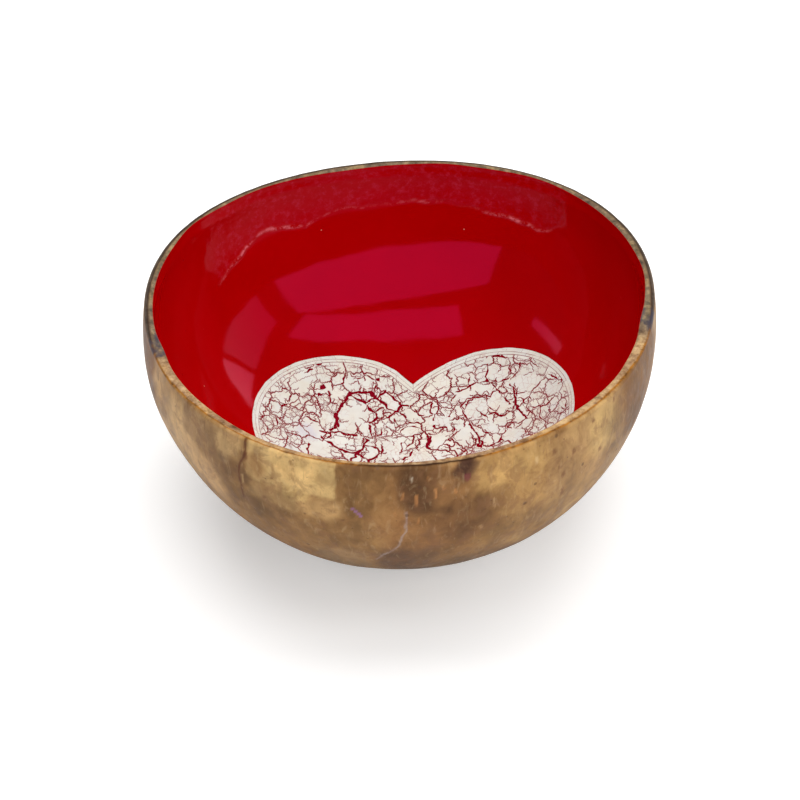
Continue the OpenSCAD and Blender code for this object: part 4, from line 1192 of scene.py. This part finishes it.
def make_border(look):
    """The plain strip: two lanes round the heart, broken across at uneven lengths by hairlines."""
    rng = np.random.default_rng(CRACKLE_SEED + 1)
    points, faces, colours = [], [], []
    base = 0
    for low, high, length_of_piece in BORDER_LANES:
        outer = low < BORDER_LANES[-1][0]
        count = int(round(2 * np.pi * BORDER_AT / length_of_piece))
        shifts = np.append(0, rng.uniform(-0.4, 0.4, count - 1))
        turns = np.append(NOTCH_DIR + 360 / count * (np.arange(count) + shifts), NOTCH_DIR + 360)
        for start, stop in zip(turns[:-1], turns[1:]):
            half = np.degrees(rng.uniform(*BORDER_CRACKS) / BORDER_AT)
            a = np.linspace(start + half, stop - half, max(3, int((stop - start) / BORDER_TURN)))
            turn = np.stack([a, 0 * a], -1)
            drift = 0.16 * noise(turn, 11, 61)
            gap = 0.05 * (1 + noise(turn, 3.1, 62))
            # The lane's outer and inner walls: the line between the lanes drifts for both of them
            if outer:
                walls = low + 0.09 * (1 + octaves(turn, 4.0, 63, 3)), high + drift
            else:
                walls = low + (drift + gap), high - gap
            lines = [(walls[0] + inset, lift) for inset, lift, _ in BORDER_LINES]
            lines.append(((walls[0] + walls[1]) / 2, CHIP_TOP))
            lines += [(walls[1] - inset, lift) for inset, lift, _ in BORDER_LINES[::-1]]
            block = np.stack([laid(lift, placed(edge_at(a, insets))) for insets, lift in lines])
            rows, cols = block.shape[:2]
            at = base + np.arange(rows * cols).reshape(rows, cols)
            base += rows * cols
            around = np.vstack([at, at[:1]])
            quads = np.stack([around[:-1, :-1], around[:-1, 1:], around[1:, 1:], around[1:, :-1]], -1)
            faces += quads.reshape(-1, 4).tolist() + [at[:, 0].tolist(), at[::-1, -1].tolist()]
            points.append(block.reshape(-1, 3))
            middle = edge_at(a, (walls[0] + walls[1]) / 2)
            body = shell_tint(np.tile(middle, (rows, 1)), np.full(rows * cols, 1 + 0.015 * rng.normal()))
            pink = [share for _, _, share in BORDER_LINES]
            colours.append(body + (PINK - body) * np.repeat(pink + [0.0] + pink[::-1], cols)[:, None])
    piece = new_piece("plain_heart_border", np.concatenate(points), faces, smooth=False)
    colour_points(piece, "tint", np.concatenate(colours))
    piece.data.materials.append(look)
    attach(piece, "root")
    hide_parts("heart_border")


def make_heart(look):
    middles, corners, origin = grains()
    in_field = room_in_field(middles) > 0
    crossed, swallowed, nearest, foot, sideways = main_cracks(middles, corners, origin)
    present = in_field & ~swallowed
    # The corners that a grain of the field shares with the outside go to the field's edge, and stay there
    for kind, members in enumerate(TRIANGLES):
        inner = sum(on_grid(in_field, step).astype(int) for step in members)
        rim = inner % 3 > 0
        corners[kind] = pick(rim, heart_edge(bearing(corners[kind]), FIELD_INSET), corners[kind])
        nearest[kind] = np.where(rim, np.inf, nearest[kind])
    widths, plate, part = crackle(middles, crossed, present)
    lead, edge, top = joined_corners(widths, present, middles, corners, nearest, foot, sideways)
    for k, node in enumerate(("heart_left", "heart_right", "heart_point")):
        make_crackled("crackled_" + node, node, present & (part == k), lead, edge, top, widths, plate, look)
    make_border(look)


# Finishes

def shown(r, g, b):
    """A colour given as it shows on a screen, from 0 to 255, for a shader."""
    return tuple(shown_light([r, g, b]))


class Finish:
    """A material and short ways to add its nodes."""

    def __init__(self, name):
        self.material = bpy.data.materials.new(name)
        self.material.use_nodes = True
        self.tree = self.material.node_tree
        self.tree.nodes.clear()
        self.out = self.node("OutputMaterial")
        self.skin = self.node("BsdfPrincipled")
        self.tree.links.new(self.skin.outputs["BSDF"], self.out.inputs["Surface"])

    def put(self, socket, value):
        if isinstance(value, bpy.types.NodeSocket):
            self.tree.links.new(value, socket)
        elif socket.type == "RGBA":
            socket.default_value = tuple(value) + (1.0,)
        else:
            socket.default_value = value

    def node(self, kind, settings=None, **inputs):
        """A node of some kind. An input's name has a low line where the node's own has a space."""
        made = self.tree.nodes.new("ShaderNode" + kind)
        for key, value in (settings or {}).items():
            setattr(made, key, value)
        self.put_all(made, inputs)
        return made

    def put_all(self, node, inputs):
        for key, value in inputs.items():
            self.put(node.inputs[key.replace("_", " ")], value)

    def set(self, **inputs):
        self.put_all(self.skin, inputs)

    def place(self):
        return self.node("TexCoord").outputs["Object"]

    def attribute(self, name, output="Color"):
        return self.node("Attribute", {"attribute_name": name}).outputs[output]

    def stretched(self, vector, scale):
        return self.node("Mapping", Vector=vector, Scale=scale).outputs["Vector"]

    def clouds(self, vector, scale, detail=4.0, roughness=0.55, distortion=0.0):
        return self.node("TexNoise", Vector=vector, Scale=scale, Detail=detail, Roughness=roughness,
                         Distortion=distortion).outputs["Fac"]

    def math(self, operation, a, b=0.0, clamp=False):
        made = self.node("Math", {"operation": operation, "use_clamp": clamp})
        self.put(made.inputs[0], a)
        self.put(made.inputs[1], b)
        return made.outputs[0]

    def times(self, a, b):
        return self.math("MULTIPLY", a, b)

    def band(self, value, low, high, to_low=0.0, to_high=1.0):
        """The value brought from low..high to to_low..to_high, smoothly and held at the ends."""
        made = self.node("MapRange", {"interpolation_type": "SMOOTHSTEP"}, Value=value, From_Min=low,
                         From_Max=high, To_Min=to_low, To_Max=to_high)
        return made.outputs["Result"]

    def cloud_band(self, low, high, vector, *cloud):
        """1 where the clouds are past the high level and 0 where they are past the low one, which may be the
        greater of the two."""
        return self.band(self.clouds(vector, *cloud), low, high)

    def mix(self, share, a, b, blend="MIX"):
        made = self.node("Mix", {"data_type": "RGBA", "blend_type": blend})
        self.put(made.inputs[0], share)
        self.put(made.inputs[6], a)
        self.put(made.inputs[7], b)
        return made.outputs[2]

    def over(self, colour, share, strength, top):
        """A colour laid over another, where its share is over zero."""
        return self.mix(self.times(share, strength), colour, top)

    def tones(self, value, *stops):
        """Colours that change with a value, each given after the value at which it lies."""
        made = self.node("ValToRGB")
        ramp = made.color_ramp
        while len(ramp.elements) < len(stops):
            ramp.elements.new(0.5)
        for element, (at, colour) in zip(ramp.elements, stops):
            element.position = at
            element.color = tuple(colour) + (1.0,)
        self.put(made.inputs["Fac"], value)
        return made.outputs["Color"]

    def channels(self, colour):
        return self.node("SeparateColor", Color=colour).outputs

    def specks(self, place, scale, channel, rare, soft, size, core):
        """Round specks at scattered places, but only where one channel of a random colour is over a level."""
        spots = self.node("TexVoronoi", Vector=place, Scale=scale, Randomness=1.0)
        chosen = self.band(self.channels(spots.outputs["Color"])[channel], rare, rare + soft)
        return self.times(self.band(spots.outputs["Distance"], size, core), chosen)

    def bump(self, height, distance, strength=1.0, under=None):
        made = self.node("Bump", Height=height, Distance=distance, Strength=strength)
        if under is not None:
            self.put(made.inputs["Normal"], under)
        return made.outputs["Normal"]


def shell_look():
    """Polished coconut shell: broad tones along the grain, fine mottling and streaks, and stains, pits and
    flecks over them. The lip shows the sawn wall."""
    f = Finish("polished_coconut_shell")
    grain = f.attribute("grain", "Vector")
    place = f.place()
    mottle = f.clouds(f.stretched(grain, (1.0, 1.0, 1.5)), 0.26, 5.0, 0.60, 1.0)
    fine = f.clouds(place, 900.0, 4.0, 0.62)
    colour = f.attribute("outside")
    # Levels of the noise and what they do to a colour: 240 leaves it as it is
    layers = ((0.62, mottle, (0.36, (174, 156, 140)), (0.50, (236, 232, 226)), (0.62, (270, 270, 265))),
              (0.20, fine, (0.32, (140, 126, 114)), (0.44, (220, 214, 208)), (0.56, (264, 262, 258))))
    for share, value, *stops in layers:
        stops = [(at, np.array(rgb) / 240) for at, rgb in stops]
        colour = f.mix(share, colour, f.tones(value, *stops), "MULTIPLY")
    # Stains: pinkish brown blotches, pale streaks and dark threads along the grain
    blotch = f.cloud_band(0.50, 0.64, place, 190.0, 6.0, 0.64, 0.6)
    colour = f.over(colour, blotch, 0.42, shown(124, 86, 60))
    streak = f.cloud_band(0.52, 0.72, f.stretched(grain, (1.0, 1.0, 0.8)), 0.5, 5.0, 0.6, 1.2)
    colour = f.over(colour, streak, 0.14, shown(222, 192, 146))
    thread = f.cloud_band(0.36, 0.28, f.stretched(grain, (1.0, 1.0, 0.14)), 2.4, 3.0, 0.6)
    colour = f.over(colour, thread, 0.35, shown(104, 72, 50))
    pits = 0.0
    for scale, rare, strength in ((210.0, 0.60, 0.6), (430.0, 0.74, 0.5)):
        here = f.specks(place, scale, 1, rare, 0.04, 0.15, 0.06)
        pits = f.math("ADD", pits, f.times(here, strength), clamp=True)
    colour = f.mix(pits, colour, shown(84, 56, 40))
    # Lip: sawn wall, with the shell's skin as a dark line along its outer edge, which turns amber on the
    # sides: partly its own colour, partly a painted glint of light
    flat, line, amber_glint = f.channels(f.attribute("lip"))[:3]
    stain_out, bruise, back = f.channels(f.attribute("rim"))[:3]
    chalk = f.clouds(place, 420.0, 5.0, 0.72)
    vein = f.clouds(place, 150.0, 3.0, 0.6, 0.6)
    golden = f.tones(chalk, (0.34, shown(120, 88, 58)), (0.5, shown(182, 146, 106)),
                     (0.64, shown(212, 182, 138)))
    grey = f.tones(chalk, (0.34, shown(78, 68, 58)), (0.5, shown(126, 110, 88)), (0.64, shown(166, 144, 112)))
    veins = f.tones(vein, (0.36, shown(168, 150, 160)), (0.5, (0.9, 0.86, 0.8)), (0.64, shown(250, 236, 196)))
    sawn = f.mix(0.6, f.mix(back, golden, grey), veins, "MULTIPLY")
    colour = f.mix(flat, colour, sawn)
    stained = f.tones(chalk, (0.3, shown(50, 44, 40)), (0.65, shown(98, 84, 72)))
    colour = f.mix(stain_out, colour, stained)
    # The skin's amber, partly its own colour and partly painted light catching it
    amber_glint_tones = f.tones(chalk, (0.38, shown(88, 50, 14)), (0.6, shown(172, 108, 28)))
    colour = f.mix(line, colour, f.mix(amber_glint, shown(48, 26, 12), amber_glint_tones))
    colour = f.over(colour, bruise, 0.8, shown(62, 60, 74))
    relief = f.math("SUBTRACT", f.times(fine, 0.25), pits)
    under = f.bump(f.clouds(f.stretched(grain, (1.0, 1.0, 0.6)), 1.2, 3.0), 0.00012, 0.35)
    f.set(Base_Color=colour, Roughness=f.band(mottle, 0.3, 0.7, 0.38, 0.54), Specular_IOR_Level=0.16,
          Specular_Tint=(1.0, 0.86, 0.66), Normal=f.bump(relief, 0.0002, 0.5, under))
    return f.material


def red_look():
    """Deep red lacquer: a clear gloss with faint brush clouds, a few dust grains and soft polishing haze. The
    crest of the sagged edge carries a broken, pale pink painted highlight, and the bed of the cracks is
    darker."""
    f = Finish("deep_red_lacquer")
    place = f.place()
    colour = f.tones(f.clouds(place, 45.0, 3.0), (0.3, (0.385, 0.0, 0.0)), (0.7, (0.43, 0.0, 0.001)))
    ridge, above, bed = f.channels(f.attribute("sag"))[:3]
    colour = f.mix(bed, colour, (0.23, 0.003, 0.012))
    # Painted highlight: the crest of the sagged edge is painted pale pink in broken pieces, as light glinting
    # on it
    broken_highlight = f.cloud_band(0.40, 0.62, place, 520.0, 4.0, 0.7)
    colour = f.mix(f.times(ridge, f.times(broken_highlight, 0.95)), colour, (0.80, 0.20, 0.24))
    mottled = f.times(above, f.cloud_band(0.46, 0.68, place, 420.0, 5.0, 0.75))
    colour = f.over(colour, mottled, 0.35, (0.50, 0.03, 0.07))
    colour = f.over(colour, f.specks(place, 150.0, 1, 0.62, 0.01, 0.045, 0.022), 0.6, (0.78, 0.30, 0.22))
    dust = f.specks(place, 150.0, 0, 0.93, 0.01, 0.07, 0.02)
    pebbled = f.times(f.clouds(place, 650.0, 4.0, 0.6), above)
    f.set(Base_Color=colour, Roughness=f.band(f.clouds(place, 160.0, 4.0), 0.35, 0.7, 0.065, 0.095),
          IOR=1.52, Specular_Tint=(1.0, 0.03, 0.24))
    f.set(Normal=f.bump(dust, 0.00012, 1.0, f.bump(pebbled, 0.00022, 0.7)))
    return f.material


def ground_look():
    """Flat dark red ground with soft clouds and a fine tooth."""
    f = Finish("dark_red_ground")
    place = f.place()
    colour = f.tones(f.clouds(place, 300.0, 4.0), (0.35, (0.20, 0.005, 0.010)), (0.7, (0.30, 0.012, 0.018)))
    f.set(Base_Color=colour, Roughness=0.5, Normal=f.bump(f.clouds(place, 900.0, 3.0), 0.00005, 0.5))
    return f.material


def eggshell_look():
    """Creamy eggshell under a thin clear coat: the chips' own tints, faint crazing in patches, fine pores."""
    f = Finish("crackled_eggshell")
    place = f.place()
    warp = f.node("TexNoise", Vector=place, Scale=700.0, Detail=2.0).outputs["Color"]
    bent = f.mix(0.0011, place, warp, "ADD")
    crazing = f.node("TexVoronoi", {"feature": "DISTANCE_TO_EDGE"}, Vector=bent, Scale=520.0, Randomness=1.0)
    patches = f.cloud_band(0.42, 0.56, place, 170.0, 3.0)
    lines = f.times(f.band(crazing.outputs["Distance"], 0.045, 0.0), patches)
    colour = f.over(f.attribute("tint"), lines, 0.55, (0.50, 0.27, 0.22))
    shade = f.tones(f.clouds(place, 260.0, 4.0), (0.3, (0.90, 0.885, 0.86)), (0.6, (1, 1, 1)))
    colour = f.mix(0.5, colour, shade, "MULTIPLY")
    f.set(Base_Color=colour, Roughness=0.38, Specular_IOR_Level=0.4,
          Normal=f.bump(f.clouds(place, 1500.0, 3.0), 0.00003, 0.4))
    return f.material


# Studio: its reach, in metres, and the half width of the floor, in millimetres
STUDIO = 1.1
FLOOR_REACH = 6000.0


def make_floor():
    """A pale floor. To the camera alone it glows a little, so that it shows white and keeps the shadow, and
    more beyond the reach of the lamps."""
    corners = FLOOR_REACH * np.array([(-1, -1, 0), (1, -1, 0), (1, 1, 0), (-1, 1, 0)])
    floor = new_piece("studio_floor", corners, [(0, 1, 2, 3)], smooth=False)
    f = Finish("pale_floor")
    seen = f.node("LightPath").outputs["Is Camera Ray"]
    far = f.node("VectorMath", {"operation": "LENGTH"}, Vector=f.place()).outputs["Value"]
    f.set(Base_Color=(0.90, 0.90, 0.90), Roughness=0.9, Specular_IOR_Level=0.0, Emission_Color=(1, 1, 1),
          Emission_Strength=f.times(seen, f.band(far, 0.4, 2.0, 0.32, 1.0)))
    floor.data.materials.append(f.material)


def panel(name, middle, across, upright, brightness):
    """A flat rectangular lamp, given by its middle and its two sides as vectors, with its face to the bowl.

    Its brightness is a share of white."""
    middle, across, upright = (STUDIO * np.array(v, float) for v in (middle, across, upright))
    wide, high = length(across), length(upright)
    x, y = across / wide, upright / high
    z = np.cross(x, y)
    if z @ middle < 0:
        x, z = -x, -z
    lamp = bpy.data.lights.new(name, "AREA")
    lamp.shape = "RECTANGLE"
    lamp.size = wide
    lamp.size_y = high
    lamp.energy = brightness * np.pi * wide * high
    light = in_scene(name, lamp)
    light.location = middle
    light.rotation_euler = Matrix((x, y, z)).transposed().to_euler()
    return light


def make_lights():
    """Panels round the bowl, their middles and sides in shares of the studio's reach: a wide one behind the
    camera, a narrow one above it, a large one overhead and behind, and two on each side."""
    panel("front_window", (0.208, -0.978, 0.70), (2.15, 0.457, 0), (0, 0, 0.98), 1.78)
    panel("front_ceiling_strip", (0.355, -0.44, 1.0), (1.21, 0, 0), (0, 0.34, 0), 1.7)
    panel("ceiling_softbox", (0.0, 0.40, 1.0), (1.3, 0, 0), (0, 1.1, 0), 2.9).visible_glossy = False
    panel("right_window", (1.0, -0.02, 0.52), (0, 0.64, 0), (0, 0, 0.54), 1.15)
    panel("right_back_window", (1.0, 0.70, 0.52), (0, 0.66, 0), (0, 0, 0.54), 2.35)
    panel("left_window", (-1.0, 0.62, 0.42), (0, 0.44, 0), (0, 0, 0.30), 2.4)
    panel("left_strip", (-1.0, 0.14, 0.74), (0, 0.50, -0.23), (0, 0.045, 0.10), 1.9)
    world = bpy.data.worlds.new("studio")
    bpy.context.scene.world = world
    world.use_nodes = True
    tree = world.node_tree
    tree.nodes.clear()
    out = tree.nodes.new("ShaderNodeOutputWorld")
    seen = tree.nodes.new("ShaderNodeLightPath").outputs["Is Camera Ray"]
    strength = tree.nodes.new("ShaderNodeMapRange")
    strength.inputs["To Min"].default_value = 0.10
    strength.inputs["To Max"].default_value = 1.0
    back = tree.nodes.new("ShaderNodeBackground")
    tree.links.new(seen, strength.inputs["Value"])
    tree.links.new(strength.outputs["Result"], back.inputs["Strength"])
    tree.links.new(back.outputs["Background"], out.inputs["Surface"])


def make_camera():
    lens = bpy.data.cameras.new("camera")
    lens.lens = CAMERA_LENS
    lens.sensor_width = 36.0
    camera = in_scene("camera", lens)
    up = np.radians(CAMERA_UP)
    camera.location = (np.array(CAMERA_AIM) + CAMERA_FAR * np.array([0, -np.cos(up), np.sin(up)])) * MM
    camera.rotation_euler = (np.pi / 2 - up, 0, 0)
    bpy.context.scene.camera = camera


make_camera()
make_lights()
make_floor()
make_shell(shell_look())
make_ground_coat(ground_look())
make_red_lacquer(red_look())
make_heart(eggshell_look())

bpy.context.scene.view_settings.view_transform = "Standard"
